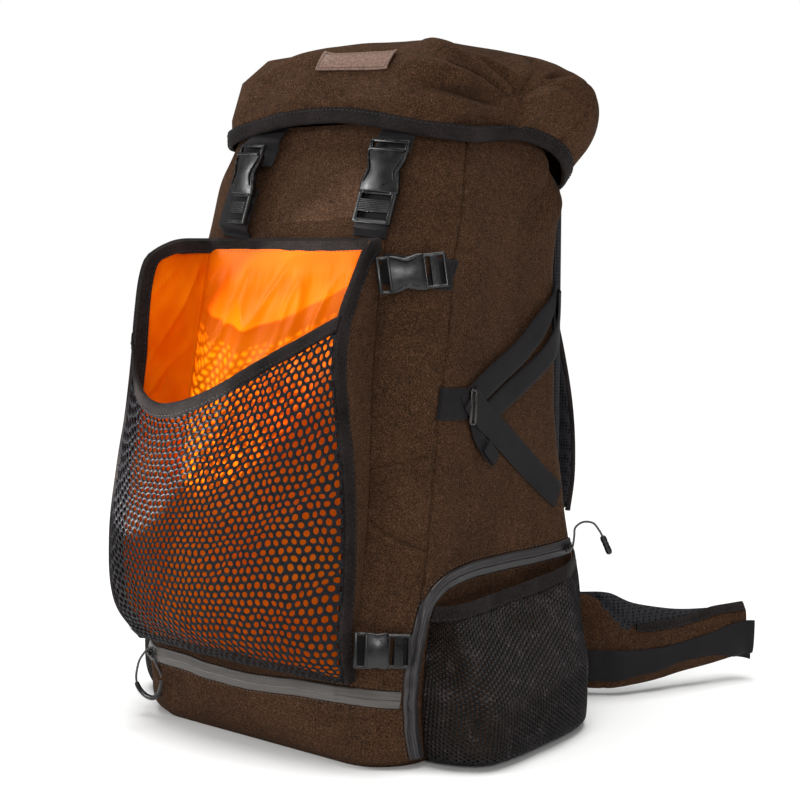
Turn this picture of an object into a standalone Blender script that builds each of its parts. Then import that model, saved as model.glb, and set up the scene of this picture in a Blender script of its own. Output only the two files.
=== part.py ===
"""Hunting rucksack: wool main bag, buckled lid, open net pouch, side pockets and harness.

The bag stands on its flat base. Its front, with the pouch, faces -Y, and +Z is up.
The bag's outline at a height is a rounded rectangle, read from BODY_ROWS. A place on the
bag is given by t, the distance round that outline from the middle of the front (positive
towards +X), and by its height z, so straps, zips and pockets follow the cloth.
"""
import bpy
import bmesh
from math import copysign, cos, pi, sin, sqrt
from mathutils import Matrix, Vector

CLOTH = 0.0025            # doubled wool with its lining
GAP = 0.0005              # between pieces that touch
SIDE_STAND = 0.0012       # straps on the sides, clear of the bag's hollow stretches
WEBBING = 0.0013          # webbing and tape thickness
WEBBING_WIDTH = 0.026     # side webbing
LID_WEBBING_WIDTH = 0.030
TAPE_WIDTH = 0.0115       # folded edge binding
ZIP_WIDTH = 0.0135        # coated zip band
BACK_Y = 0.1070           # rear face of the padded back panel

# height, half width, front y, back y, front corner radius, back corner radius, flare at the back
BODY_ROWS = (
    (0.000, 0.144, -0.164, 0.078, 0.048, 0.028, 0.008),
    (0.010, 0.151, -0.173, 0.086, 0.052, 0.028, 0.012),
    (0.045, 0.152, -0.177, 0.088, 0.053, 0.026, 0.015),
    (0.090, 0.152, -0.174, 0.088, 0.055, 0.025, 0.017),
    (0.140, 0.150, -0.161, 0.088, 0.058, 0.025, 0.017),
    (0.200, 0.149, -0.147, 0.088, 0.060, 0.028, 0.009),
    (0.270, 0.147, -0.136, 0.088, 0.060, 0.030, 0.002),
    (0.340, 0.145, -0.126, 0.088, 0.060, 0.030, 0.000),
    (0.400, 0.142, -0.116, 0.088, 0.060, 0.030, 0.003),
    (0.450, 0.138, -0.102, 0.087, 0.057, 0.030, 0.012),
    (0.480, 0.135, -0.093, 0.085, 0.055, 0.032, 0.014),
    (0.500, 0.130, -0.084, 0.084, 0.050, 0.032, 0.011),
    (0.524, 0.123, -0.075, 0.080, 0.046, 0.034, 0.005),
)
BODY_INNER_HEIGHTS = (0.524, 0.450, 0.340, 0.200, 0.090, 0.010, 0.0025)

# distance round the rim from the middle of the front, height of the lid's rim
RIM_ROWS = ((0.000, 0.5255), (0.030, 0.5245), (0.060, 0.5205), (0.090, 0.5150),
            (0.120, 0.5095), (0.160, 0.5070), (0.200, 0.5105), (0.2235, 0.5110), (0.253, 0.5040),
            (0.278, 0.4895), (0.293, 0.4760), (0.320, 0.4670), (0.380, 0.4620), (0.460, 0.4600))
# share of the way from rim to crown, how far front and sides stand out, same for the back
LID_ROWS = ((0.00, 0.000, 0.000), (0.12, 0.000, 0.007), (0.28, 0.000, 0.017),
            (0.48, -0.003, 0.022), (0.66, -0.010, 0.017), (0.80, -0.021, 0.002),
            (0.90, -0.034, -0.016), (0.97, -0.051, -0.039), (1.00, -0.076, -0.074))
LID_CROWN, LID_FALL = 0.5985, 0.11      # height of the crown, its slope down to the back
LID_HALF_WIDTH, LID_BACK_HALF_WIDTH = 0.1325, 0.1540
LID_FRONT_Y, LID_BACK_Y = -0.0860, 0.1100
LID_FRONT_RADIUS, LID_BACK_RADIUS = 0.050, 0.030
LID_LEAST_RADIUS = 0.016
LID_INNER_SHARES = (0.985, 0.90, 0.66, 0.28, 0.0)
PATCH_PLACE = (-0.004, 0.074, 0.60, 0.80)   # along the rim from and to, up the lid from and to

# each lid buckle's distance from the front's middle, stand off the cloth, and turn outwards
LID_BUCKLES = {"right": (0.0865, 0.0020, 0.00), "left": (0.0730, 0.0062, 0.26)}
LID_BUCKLE_Z, LID_BUCKLE_WIDTH, LID_SOCKET, LID_PLUG = 0.4620, 0.0400, 0.0370, 0.0260
# height, start and end round the bag, turn from level, buckle width of each side strap
SIDE_BUCKLES = {("upper", "right"): (0.3990, 0.0970, 0.1580, 0.10, 0.0310),
                ("upper", "left"): (0.3990, 0.1110, 0.1700, 0.10, 0.0310),
                ("lower", "right"): (0.0990, 0.1165, 0.1540, -0.05, 0.0290),
                ("lower", "left"): (0.0990, 0.1165, 0.1540, -0.05, 0.0290)}
SIDE_PLUG = 0.0180

# height, x of back left, x and y of front left, x and y of front right, x of back right,
# how far the net bellies out in the middle
POUCH_ROWS = (
    (0.072, -0.112, -0.124, -0.184, 0.115, -0.183, 0.113, 0.012),
    (0.105, -0.113, -0.142, -0.198, 0.114, -0.189, 0.112, 0.022),
    (0.165, -0.114, -0.150, -0.196, 0.111, -0.180, 0.108, 0.030),
    (0.230, -0.113, -0.147, -0.188, 0.107, -0.176, 0.104, 0.026),
    (0.270, -0.112, -0.143, -0.182, 0.104, -0.177, 0.101, 0.020),
    (0.320, -0.110, -0.140, -0.176, 0.101, -0.179, 0.098, 0.012),
    (0.360, -0.108, -0.137, -0.174, 0.099, -0.171, 0.097, 0.006),
    (0.400, -0.106, -0.133, -0.169, 0.098, -0.148, 0.096, 0.002),
    (0.415, -0.106, -0.129, -0.161, 0.097, -0.138, 0.096, 0.000),
    (0.427, -0.105, -0.117, -0.141, 0.096, -0.128, 0.095, 0.000),
)
POUCH_HEIGHTS = (0.074, 0.105, 0.140, 0.180, 0.225, 0.270, 0.315, 0.360, 0.390, 0.4150)
POUCH_TOP = 0.427
POUCH_STAND = 0.0027       # the pouch's back off the bag, clear of the webbing behind it
GUSSET_CLOTH, LINING = 0.0020, 0.0010
LEAST_GUSSET = 0.0055      # cloth left beside the tape where a side wall tapers to the foot
# share of the net's width from the left, height of the net's upper edge
MOUTH_ROWS = ((0.00, 0.345), (0.05, 0.310), (0.12, 0.293), (0.22, 0.286), (0.34, 0.290),
              (0.50, 0.304), (0.70, 0.329), (0.86, 0.348), (1.00, 0.366))
NET_MARGIN = 0.0064        # the net starts inside the tape on the side walls' edges
NET_WALL_STAND = 0.0074    # where the net's foot meets the pouch's back, off the bag
NET_BOTTOM, NET_CURL, NET_CURL_HEIGHT = 0.074, 0.14, 0.014   # the net's foot curls under
NET_GAPS_ACROSS, NET_GAPS_UP, NET_BAR_ACROSS, NET_BAR_UP = 9, 9, 0.015, 0.017

# distance round the bag, height of the middle of the zip
SIDE_ZIP_ROWS = ((0.350, 0.1525), (0.312, 0.1510), (0.253, 0.1505), (0.212, 0.1500),
                 (0.186, 0.1470), (0.170, 0.1380), (0.1640, 0.1240), (0.1625, 0.1040),
                 (0.1610, 0.0776), (0.1612, 0.0610), (0.1630, 0.0250), (0.1640, 0.0080))
FRONT_ZIP_ROWS = ((-0.1520, 0.0590), (-0.1230, 0.0580), (-0.0830, 0.0580), (-0.0400, 0.0550),
                  (0.0070, 0.0550), (0.0640, 0.0600), (0.1180, 0.0620), (0.1520, 0.0590))
# crossed straps on the sides
CINCH_LOOP_ROWS = ((0.1570, 0.2890), (0.1832, 0.2845))
CINCH_UPPER_ROWS = ((0.1945, 0.2810), (0.2300, 0.3025), (0.2700, 0.3255), (0.3080, 0.3520))
CINCH_LOWER_ROWS = ((0.1900, 0.2840), (0.2320, 0.2630), (0.2750, 0.2350), (0.3150, 0.2070))
CINCH_TAIL_ROWS = ((0.2030, 0.2760), (0.2200, 0.2500), (0.2400, 0.2270))

POCKET_FRONT_T, POCKET_BACK_T, POCKET_BOTTOM = 0.1735, 0.3720, 0.0045
# share of the way back, height of the pocket's mouth, how far the pocket bellies out
POCKET_ROWS = ((0.00, 0.1240, 0.000), (0.03, 0.1232, 0.028), (0.08, 0.1216, 0.046), (0.16, 0.1192, 0.054),
               (0.33, 0.1180, 0.058), (0.50, 0.1180, 0.057), (0.65, 0.1225, 0.053), (0.78, 0.1320, 0.046),
               (0.87, 0.1395, 0.035), (0.95, 0.1455, 0.018), (1.00, 0.1490, 0.000))
POCKET_UPS = (0.0, 0.008, 0.045, 0.11, 0.25, 0.42, 0.65, 0.91, 1.0)
POCKET_MOUTH_DRAW = 0.73                # how much of the belly the mouth's tape draws in
POCKET_CLOTH = 0.0012

# x, y of the belt's middle line, low edge, high edge, thickness
BELT_ROWS = ((0.0000, 0.1150, 0.0080, 0.0920, 0.0150), (0.0600, 0.1150, 0.0080, 0.0920, 0.0150),
             (0.1100, 0.1155, 0.0080, 0.0940, 0.0150), (0.1450, 0.1200, 0.0060, 0.0970, 0.0150),
             (0.1700, 0.1330, 0.0060, 0.0970, 0.0150), (0.1840, 0.1500, 0.0080, 0.0870, 0.0150),
             (0.1970, 0.1740, 0.0100, 0.0800, 0.0145), (0.2095, 0.1985, 0.0140, 0.0750, 0.0140),
             (0.2260, 0.2285, 0.0180, 0.0730, 0.0130), (0.2445, 0.2625, 0.0240, 0.0730, 0.0110))
BELT_TIP = 0.2445
# x, low edge, high edge of the webbing on the belt's outer face; it ends in a flap past the tip
BELT_WEBBING_ROWS = ((0.1500, 0.0140, 0.0440), (0.1700, 0.0145, 0.0440), (0.1840, 0.0170, 0.0430),
                     (0.1970, 0.0205, 0.0425), (0.2095, 0.0260, 0.0450), (0.2260, 0.0280, 0.0510),
                     (0.2380, 0.0230, 0.0570), (0.2445, 0.0200, 0.0580), (0.2490, 0.0180, 0.0580))
# x, y, z of the shoulder pad's middle line, width
SHOULDER_ROWS = ((0.0500, 0.1132, 0.4480, 0.062), (0.0510, 0.1160, 0.4300, 0.064),
                 (0.0550, 0.1300, 0.4020, 0.066), (0.0620, 0.1480, 0.3600, 0.066),
                 (0.0740, 0.1540, 0.3080, 0.062), (0.0880, 0.1510, 0.2550, 0.056),
                 (0.0990, 0.1410, 0.2050, 0.050), (0.1060, 0.1280, 0.1680, 0.042))
SHOULDER_PAD = 0.011
ADJUSTER_LEAN, ADJUSTER_TURN = 0.34, 0.188   # as the pad's end leans and turns, in radians
# half width, half height, middle height and corner radius of the padded back
PANEL_HALF_WIDTH, PANEL_HALF_HEIGHT, PANEL_MIDDLE_Z, PANEL_RADIUS = 0.1345, 0.2300, 0.2650, 0.035
HAUL_LOOP_Z, HAUL_LOOP_HALF, HAUL_LOOP_REACH = 0.4370, 0.0110, 0.0260

# right zip pull: the cord arches off the zip's end, then down to a moulded grip
RIGHT_CORD_ROUTE = ((0.1691, 0.0681, 0.1525), (0.1680, 0.0718, 0.1604), (0.1672, 0.0748, 0.1676),
                    (0.1732, 0.0780, 0.1729), (0.1818, 0.0810, 0.1726), (0.1864, 0.0840, 0.1662),
                    (0.1886, 0.0858, 0.1612))
RIGHT_GRIP_END = (0.1946, 0.0895, 0.1450)
# left zip pull: a loop of cord at the front's left corner, its foot in a curved sheath
LEFT_CORD_ROUTE = ((-0.1165, -0.1773, 0.0632), (-0.1216, -0.1785, 0.0620), (-0.1325, -0.1785, 0.0505),
                   (-0.1368, -0.1785, 0.0395), (-0.1380, -0.1785, 0.0320), (-0.1360, -0.1785, 0.0255),
                   (-0.1305, -0.1785, 0.0205), (-0.1230, -0.1790, 0.0180), (-0.1145, -0.1790, 0.0185),
                   (-0.1065, -0.1790, 0.0255), (-0.1035, -0.1790, 0.0360), (-0.1060, -0.1790, 0.0430),
                   (-0.1118, -0.1785, 0.0500), (-0.1160, -0.1780, 0.0572))
LEFT_SHEATH = (0.35, 0.78)              # shares of the loop's length that the sheath covers
CORD_DIAMETER = 0.0020

MATERIALS = {
    "loden_wool": ((0.060, 0.036, 0.023), 0.95, 0.0),
    "black_tape": ((0.018, 0.017, 0.020), 0.75, 0.0),
    "orange_satin": ((0.900, 0.140, 0.010), 0.35, 0.0),
    "black_mesh": ((0.012, 0.012, 0.014), 0.80, 0.0),
    "brown_leather": ((0.110, 0.055, 0.045), 0.55, 0.0),
    "black_plastic": ((0.012, 0.012, 0.013), 0.30, 0.0),
    "coated_zip": ((0.075, 0.070, 0.068), 0.35, 0.0),
    "padded_mesh": ((0.020, 0.020, 0.021), 0.90, 0.0),
}


def clear_scene():
    for item in list(bpy.data.objects):
        bpy.data.objects.remove(item, do_unlink=True)


def material(name):
    found = bpy.data.materials.get(name)
    if found:
        return found
    colour, roughness, metallic = MATERIALS[name]
    made = bpy.data.materials.new(name)
    made.use_nodes = True
    shader = made.node_tree.nodes["Principled BSDF"]
    shader.inputs["Base Color"].default_value = (*colour, 1.0)
    shader.inputs["Roughness"].default_value = roughness
    shader.inputs["Metallic"].default_value = metallic
    made.diffuse_color = (*colour, 1.0)
    return made


def finish(name, mesh, finish_name, smooth=True):
    """Give a closed bmesh outward normals, a name and a material."""
    bmesh.ops.recalc_face_normals(mesh, faces=mesh.faces[:])
    data = bpy.data.meshes.new(name)
    mesh.to_mesh(data)
    mesh.free()
    if smooth:
        data.shade_smooth()
        data.set_sharp_from_angle(angle=0.9)
    data.materials.append(material(finish_name))
    piece = bpy.data.objects.new(name, data)
    bpy.context.collection.objects.link(piece)
    return piece


def table_row(table, key):
    """Read a table at a key, with a smooth curve through its rows."""
    key = min(max(key, table[0][0]), table[-1][0])
    last = len(table) - 2
    index = max(i for i in range(last + 1) if table[i][0] <= key + 1e-12)
    start, end = table[index], table[index + 1]
    before, after = table[max(index - 1, 0)], table[min(index + 2, last + 1)]
    step = end[0] - start[0]
    u = (key - start[0]) / step
    values = []
    for column in range(1, len(start)):
        slope_start = (end[column] - before[column]) / (end[0] - before[0]) * step
        slope_end = (after[column] - start[column]) / (after[0] - start[0]) * step
        values.append((2 * u**3 - 3 * u**2 + 1) * start[column] + (u**3 - 2 * u**2 + u) * slope_start
                      + (3 * u**2 - 2 * u**3) * end[column] + (u**3 - u**2) * slope_end)
    return values


def path_at(rows, share):
    """A point of a drawn path, share 0 to 1 by the rows' order, as a smooth curve."""
    table = [(i / (len(rows) - 1), *row) for i, row in enumerate(rows)]
    return table_row(table, share)


def spread(start, end, count):
    return [start + (end - start) * i / (count - 1) for i in range(count)]


def smooth_step(value, low, high):
    u = min(max((value - low) / (high - low), 0.0), 1.0)
    return u * u * (3 - 2 * u)


def outline(dims, t, out=0.0):
    """Point and normal on a rounded rectangle, t metres round it from the middle of the front."""
    half, front, back, front_radius, back_radius = dims
    side = 1 if t >= 0 else -1
    t = abs(t)
    front_run = half - front_radius
    corner = front_radius * pi / 2
    side_run = (back - back_radius) - (front + front_radius)
    if t <= front_run:
        x, y, nx, ny = t, front, 0.0, -1.0
    elif t <= front_run + corner:
        angle = (t - front_run) / front_radius
        nx, ny = sin(angle), -cos(angle)
        x, y = front_run + front_radius * nx, front + front_radius + front_radius * ny
    elif t <= front_run + corner + side_run:
        x, y, nx, ny = half, front + front_radius + t - front_run - corner, 1.0, 0.0
    else:
        left = t - front_run - corner - side_run
        angle = min(left / back_radius, pi / 2)
        nx, ny = cos(angle), sin(angle)
        x, y = half - back_radius + back_radius * nx, back - back_radius + back_radius * ny
        x -= max(left - back_radius * pi / 2, 0.0)
    return side * (x + out * nx), y + out * ny


def run_lengths(dims):
    """Lengths of half the outline's front, front corner, side, back corner and back."""
    half, front, back, front_radius, back_radius = dims
    return (half - front_radius, front_radius * pi / 2, back - back_radius - front - front_radius,
            back_radius * pi / 2, half - back_radius)


def ring_stations(dims, counts=(2, 5, 5, 3, 2)):
    """Distances t round the whole outline, starting at the middle of the back on the left."""
    right, reached = [0.0], 0.0
    for length, count in zip(run_lengths(dims), counts):
        right += [reached + length * (i + 1) / count for i in range(count)]
        reached += length
    return [-t for t in right[:0:-1]] + right[:-1]


def bag(t, z, out=0.0):
    """Point on the bag's outer cloth, or out metres off it. The sides flare towards the back."""
    *dims, flare = table_row(BODY_ROWS, z)
    x, y = outline(dims, t, out)
    share = smooth_step(y - out * (1 if y > 0.07 else 0), -0.06, 0.07) * min(abs(x) / 0.12, 1.0)
    return Vector((x + flare * share * (1 if x > 0 else -1), y, z))


def split_cell(mesh, a, b, c, d):
    """A four-sided cell as two triangles on one diagonal, so that stacked sheets stay parallel."""
    mesh.faces.new((a, b, c))
    mesh.faces.new((a, c, d))


def loft(name, rings, finish_name):
    """A closed solid through rings of points, capped at both ends."""
    mesh = bmesh.new()
    loops = [[mesh.verts.new(point) for point in ring] for ring in rings]
    count = len(rings[0])
    for low, high in zip(loops, loops[1:]):
        for i in range(count):
            j = (i + 1) % count
            split_cell(mesh, low[i], low[j], high[j], high[i])
    mesh.faces.new(loops[0])
    mesh.faces.new(loops[-1])
    return finish(name, mesh, finish_name)


def round_ring(middle, along, radius, sides):
    """A ring of points round a line."""
    along = along.normalized()
    wide = along.cross(Vector((0, 1, 0))).normalized()
    thick = along.cross(wide)
    return [middle + (wide * cos(a) + thick * sin(a)) * radius
            for a in (2 * pi * i / sides for i in range(sides))]


def ring_tube(name, rings, finish_name):
    """A closed tube through rings of points, the last of which joins the first."""
    mesh = bmesh.new()
    loops = [[mesh.verts.new(point) for point in ring] for ring in rings]
    for low, high in zip(loops, loops[1:] + loops[:1]):
        for i in range(len(low)):
            j = (i + 1) % len(low)
            mesh.faces.new((low[i], low[j], high[j], high[i]))
    return finish(name, mesh, finish_name)


def slab(name, point, columns, rows, inner, outer, finish_name, keep=None, ring=False):
    """A sheet with thickness over point(column, row, out); keep says which cells are cloth."""
    mesh = bmesh.new()
    made = {}

    def corner(i, j, level):
        i = i % len(columns) if ring else i
        if (i, j, level) not in made:
            made[i, j, level] = mesh.verts.new(point(columns[i], rows[j], (inner, outer)[level]))
        return made[i, j, level]

    across = len(columns) if ring else len(columns) - 1
    upward = len(rows) - 1

    def solid(i, j):
        i = i % across if ring else i
        if not (0 <= i < across and 0 <= j < upward):
            return False
        return keep is None or keep(i, j)

    for i in range(across):
        for j in range(upward):
            if not solid(i, j):
                continue
            cell = ((i, j), (i + 1, j), (i + 1, j + 1), (i, j + 1))
            split_cell(mesh, *(corner(a, b, 1) for a, b in cell))
            split_cell(mesh, *(corner(*cell[k], 0) for k in (0, 3, 2, 1)))
            sides = ((i, j - 1), (i + 1, j), (i, j + 1), (i - 1, j))
            for k, neighbour in enumerate(sides):
                if not solid(*neighbour):
                    a, b = cell[k], cell[(k + 1) % 4]
                    mesh.faces.new((corner(*a, 0), corner(*b, 0), corner(*b, 1), corner(*a, 1)))
    return finish(name, mesh, finish_name)


def strip(name, surface, rows, width, inner, outer, finish_name, segments, side=1):
    """A band of the given width along a path of (t, z) rows on a surface."""
    def point(share, across, out):
        t, z = path_at(rows, share)
        step = 0.01
        before, after = path_at(rows, max(share - step, 0)), path_at(rows, min(share + step, 1))
        along_t, along_z = after[0] - before[0], after[1] - before[1]
        length = sqrt(along_t**2 + along_z**2)
        return surface(side * (t - across * along_z / length), z + across * along_t / length, out)
    return slab(name, point, spread(0, 1, segments + 1), (-width / 2, width / 2),
                inner, outer, finish_name)


def make_body():
    """Main bag: a shell of lined wool, open at the top under the lid, with a flat base."""
    outside = [row[0] for row in BODY_ROWS]
    outside.insert(1, 0.004)
    rings = []
    for z, inside in [(z, 0.0) for z in outside] + [(z, CLOTH) for z in BODY_INNER_HEIGHTS]:
        stations = ring_stations(table_row(BODY_ROWS, z)[:5], (2, 5, 6, 3, 2))
        rings.append([bag(t, z, -inside) for t in stations])
    loft("pack_body", rings, "loden_wool")


def lid_dims(share):
    front_out, back_out = table_row(LID_ROWS, share)
    return (LID_HALF_WIDTH + front_out, LID_FRONT_Y - front_out, LID_BACK_Y + back_out,
            max(LID_FRONT_RADIUS + front_out, LID_LEAST_RADIUS),
            max(LID_BACK_RADIUS + back_out, LID_LEAST_RADIUS))


def same_stretch(start_dims, end_dims, t):
    """Distance round one outline that is as far along the same stretch as t is on another."""
    left, reached = abs(t), 0.0
    for own, other in zip(run_lengths(start_dims), run_lengths(end_dims)):
        if left <= own:
            break
        left -= own
        reached += other
    else:
        left, reached = own, reached - other
    return copysign(reached + other * left / own, t)


def lid_place(t, share):
    """Point on the lid: t metres round its rim, share of the way from rim to crown."""
    dims = lid_dims(share)
    x, y = outline(dims, same_stretch(lid_dims(0.0), dims, t))
    back_out = table_row(LID_ROWS, share)[1]
    flare = (LID_BACK_HALF_WIDTH + back_out) / dims[0] - 1
    x *= 1 + flare * smooth_step(y, -0.02, 0.10)
    low = table_row(RIM_ROWS, abs(t))[0]
    high = LID_CROWN - LID_FALL * max(y, 0.0)
    return Vector((x, y, low + (high - low) * share))


def lid(t, share, out=0.0):
    """Point out metres off the lid's outer cloth."""
    here = lid_place(t, share)
    if not out:
        return here
    step_t, step_share = 0.004, 0.02
    low, high = max(share - step_share, 0.0), min(share + step_share, 0.999)
    along = lid_place(t + step_t, share) - lid_place(t - step_t, share)
    upward = lid_place(t, high) - lid_place(t, low)
    return here + along.cross(upward).normalized() * out


def make_lid():
    """Lid: a deep domed cap of lined wool that reaches over the back, its rim bound in tape."""
    stations = ring_stations(lid_dims(0.0))
    inner = [[lid(t, share, -CLOTH) for t in stations] for share in LID_INNER_SHARES]
    outer = [[lid(t, row[0]) for t in stations] for row in LID_ROWS]
    loft("lid", inner + outer, "loden_wool")
    slab("lid_binding", lid, stations, (0.0, LID_ROWS[1][0]), 2 * GAP, 2 * GAP + WEBBING,
         "black_tape", ring=True)
    left, right, low, high = PATCH_PLACE
    slab("lid_patch", lid, spread(left, right, 7), spread(low, high, 4), 0.0007, 0.0025, "brown_leather")


def seat(t, z, stand, side):
    """Frame on the bag's cloth: X runs round the bag, Y up it, Z away from it."""
    here = bag(t, z)
    along = (bag(t + 0.012, z) - bag(t - 0.012, z)).normalized()
    upward = (bag(t, z + 0.012) - bag(t, z - 0.012)).normalized()
    normal = along.cross(upward).normalized()
    upward = normal.cross(along)
    frame = Matrix((along, upward, normal)).transposed().to_4x4()
    frame.translation = here + normal * stand
    if side < 0:
        frame = Matrix.Diagonal((-1, 1, 1, 1)) @ frame
    return frame


def plate(name, frame, xs, ys, low, high, finish_name, holes=()):
    """A flat plate on a grid of lines, less the cells named in holes."""
    def point(x, y, out):
        return frame @ Vector((x, y, out))
    return slab(name, point, xs, ys, low, high, finish_name, keep=lambda i, j: (i, j) not in holes)


def buckle(name, frame, width, socket, plug, thickness):
    """Side-release buckle along the frame's Y: a waisted socket above, a slotted plug below."""
    half = width / 2
    waist = half * 0.72
    plate(name + "_socket", frame, (-half, -waist, waist, half),
          (0.0002, socket * 0.16, socket * 0.58, socket), 0.0, thickness, "black_plastic",
          holes=((0, 1), (2, 1)))
    slot = half * 0.74
    plate(name + "_plug", frame, (-half * 0.94, -slot, slot, half * 0.94),
          (-plug, -plug * 0.80, -plug * 0.52, -plug * 0.30, -0.0002), 0.0, thickness * 0.8,
          "black_plastic", holes=((1, 1),))


def make_lid_straps(side, word):
    """Webbing from under the lid's rim, its buckle, and the webbing that goes behind the pouch."""
    t, stand, turn = LID_BUCKLES[word]
    half = LID_WEBBING_WIDTH / 2
    columns = spread(side * (t - half), side * (t + half), 4)
    slab("lid_strap_" + word, bag, columns, (LID_BUCKLE_Z + LID_SOCKET, 0.5065, 0.5140),
         GAP, GAP + WEBBING, "black_tape")
    frame = seat(t, LID_BUCKLE_Z, stand, side) @ Matrix.Rotation(turn, 4, "Y")
    buckle("lid_buckle_" + word, frame, LID_BUCKLE_WIDTH, LID_SOCKET, LID_PLUG, 0.0085)
    slab("front_strap_" + word, bag, columns, (0.4275, 0.4450, 0.4640), GAP, GAP + WEBBING, "black_tape")


def gusset(z, side):
    """Front corner of a side wall at a height, its way back, its outward normal and its depth."""
    back_left, left_x, left_y, right_x, right_y, back_right, _ = table_row(POUCH_ROWS, z)
    front = Vector((right_x, right_y, z)) if side > 0 else Vector((left_x, left_y, z))
    way = bag(back_right if side > 0 else back_left, z, POUCH_STAND) - front
    way.z = 0.0
    return front, way.normalized(), Vector((way.y, -way.x, 0)).normalized() * side, way.length


def gusset_place(z, side, depth, out):
    front, way, normal, _ = gusset(z, side)
    return front + way * depth + normal * out


def pouch_back(share, z, out):
    """Point on the pouch's back wall, share 0 at the right gusset and 1 at the left one."""
    row = table_row(POUCH_ROWS, z)
    right, left = row[5], row[0]
    here = bag(right + (left - right) * share, z, POUCH_STAND - out)
    if share in (0.0, 1.0):
        side = 1 if share == 0.0 else -1
        beside, behind = gusset(z, side)[2], Vector((0, 1, 0))
        here = bag(right if side > 0 else left, z, POUCH_STAND)
        here += (beside + behind) / (1 + beside.dot(behind)) * out
    return here


def pouch_sheet(column, z, out):
    """Point on the cloth behind its edge tape: column -1 to 0 is right, 0 to 1 back, 1 to 2 left."""
    if 0 <= column <= 1:
        return pouch_back(column, z, out)
    side, share = (1, -column) if column < 0 else (-1, column - 1)
    margin, depth = TAPE_WIDTH + GAP, gusset(z, side)[3]
    return gusset_place(z, side, depth - share * max(depth - margin, LEAST_GUSSET), out)


def pouch_border(column, z, out):
    """Point on the edge tape: its columns are an edge and the tape's inner line, or the back."""
    if isinstance(column, tuple):
        side, depth = column
        return gusset_place(z, side, min(depth, gusset(z, side)[3] - LEAST_GUSSET - GAP), out)
    return pouch_back(column, z, out)


def net_front(share, z):
    """Point on the belly of the net, share 0 at its left edge and 1 at its right."""
    _, left_x, left_y, right_x, right_y, _, belly = table_row(POUCH_ROWS, z)
    x = left_x + NET_MARGIN + (right_x - left_x - 2 * NET_MARGIN) * share
    y = left_y + (right_y - left_y) * share - belly * sin(pi * share) ** 0.8
    return Vector((x, y, z))


def net_place(share, up):
    """Point on the net: share across it, up from the pouch's back at the bottom to the mouth."""
    foot = NET_BOTTOM + NET_CURL_HEIGHT
    if up >= NET_CURL:
        mouth = table_row(MOUTH_ROWS, share)[0]
        return net_front(share, foot + (mouth - foot) * (up - NET_CURL) / (1 - NET_CURL))
    front, row = net_front(share, foot), table_row(POUCH_ROWS, foot)
    left, right = row[0] + NET_MARGIN, row[5] - NET_MARGIN
    wall = Vector((left + (right - left) * share, bag(0.0, NET_BOTTOM).y - NET_WALL_STAND, foot))
    angle = (1 - up / NET_CURL) * pi / 2
    here = wall + (front - wall) * cos(angle)
    here.z -= NET_CURL_HEIGHT * sin(angle)
    return here


def net(share, up, out=0.0):
    here = net_place(share, up)
    step = 0.01
    across = net_place(min(share + step, 1), up) - net_place(max(share - step, 0), up)
    upward = net_place(share, min(up + step, 1)) - net_place(share, max(up - step, 0))
    return here + across.cross(upward).normalized() * out


def net_lines(start, end, holes, bar):
    """Grid lines for a row of holes with bars between them, an odd number of cells."""
    pitch = (end - start - bar) / holes
    lines = []
    for i in range(holes):
        lines += [start + i * pitch, start + i * pitch + bar]
    return lines + [end - bar, end]


def make_pouch():
    """Open pouch on the front: wool back and gussets lined with satin, a net across the front."""
    back = (0.0, 0.2, 0.4, 0.6, 0.8, 1.0)
    cloth_heights = (*POUCH_HEIGHTS[:-1], POUCH_HEIGHTS[-1] - GAP)
    for name, inner, outer, cloth in (
            ("pouch_shell", -GUSSET_CLOTH, 0.0, "loden_wool"),
            ("pouch_lining", -GUSSET_CLOTH - GAP - LINING, -GUSSET_CLOTH - GAP, "orange_satin")):
        slab(name, pouch_sheet, (-1, -0.5, *back, 1.5, 2), cloth_heights, inner, outer, cloth)
    columns = [(1, 0.0), (1, TAPE_WIDTH), *back, (-1, TAPE_WIDTH), (-1, 0.0)]
    heights = (*POUCH_HEIGHTS, POUCH_TOP)
    sides, top = (0, len(columns) - 2), len(heights) - 2
    slab("pouch_frame_binding", pouch_border, columns, heights, -0.0036, 0.0003, "black_tape",
         keep=lambda i, j: i in sides or j == top)
    across = net_lines(0.0, 1.0, NET_GAPS_ACROSS, NET_BAR_ACROSS)
    slab("pouch_net", net, across, net_lines(0.0, 0.965, NET_GAPS_UP, NET_BAR_UP), 0.0, 0.0012,
         "black_mesh", keep=lambda i, j: i % 2 == 0 or j % 2 == 0)
    slab("pouch_mouth_binding", net, across, (0.967, 1.0), -0.0008, 0.0016, "black_tape")


def make_side_buckles(side, word):
    """Two buckled straps that pull the pouch's edge to each side seam."""
    half = WEBBING_WIDTH / 2 - 0.001
    for level in ("upper", "lower"):
        z, start, end, turn, width = SIDE_BUCKLES[level, word]
        joint = (start + end) / 2 + 0.004
        frame = seat(joint, z, 0.0018, side) @ Matrix.Rotation(pi / 2 + turn, 4, "Z")
        buckle(f"side_buckle_{level}_{word}", frame, width, joint - start, SIDE_PLUG, 0.0075)
        slab(f"side_webbing_{level}_{word}", bag, spread(side * (joint + 0.008), side * end, 4),
             (z - half, z + half), GAP, GAP + WEBBING, "black_tape")


def make_zips():
    strip("front_zip", bag, FRONT_ZIP_ROWS, ZIP_WIDTH, GAP, GAP + 0.0018, "coated_zip", 18)
    for side, word in ((1, "right"), (-1, "left")):
        strip("side_zip_" + word, bag, SIDE_ZIP_ROWS, ZIP_WIDTH, SIDE_STAND, SIDE_STAND + 0.0018,
              "coated_zip", 24, side=side)


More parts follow.
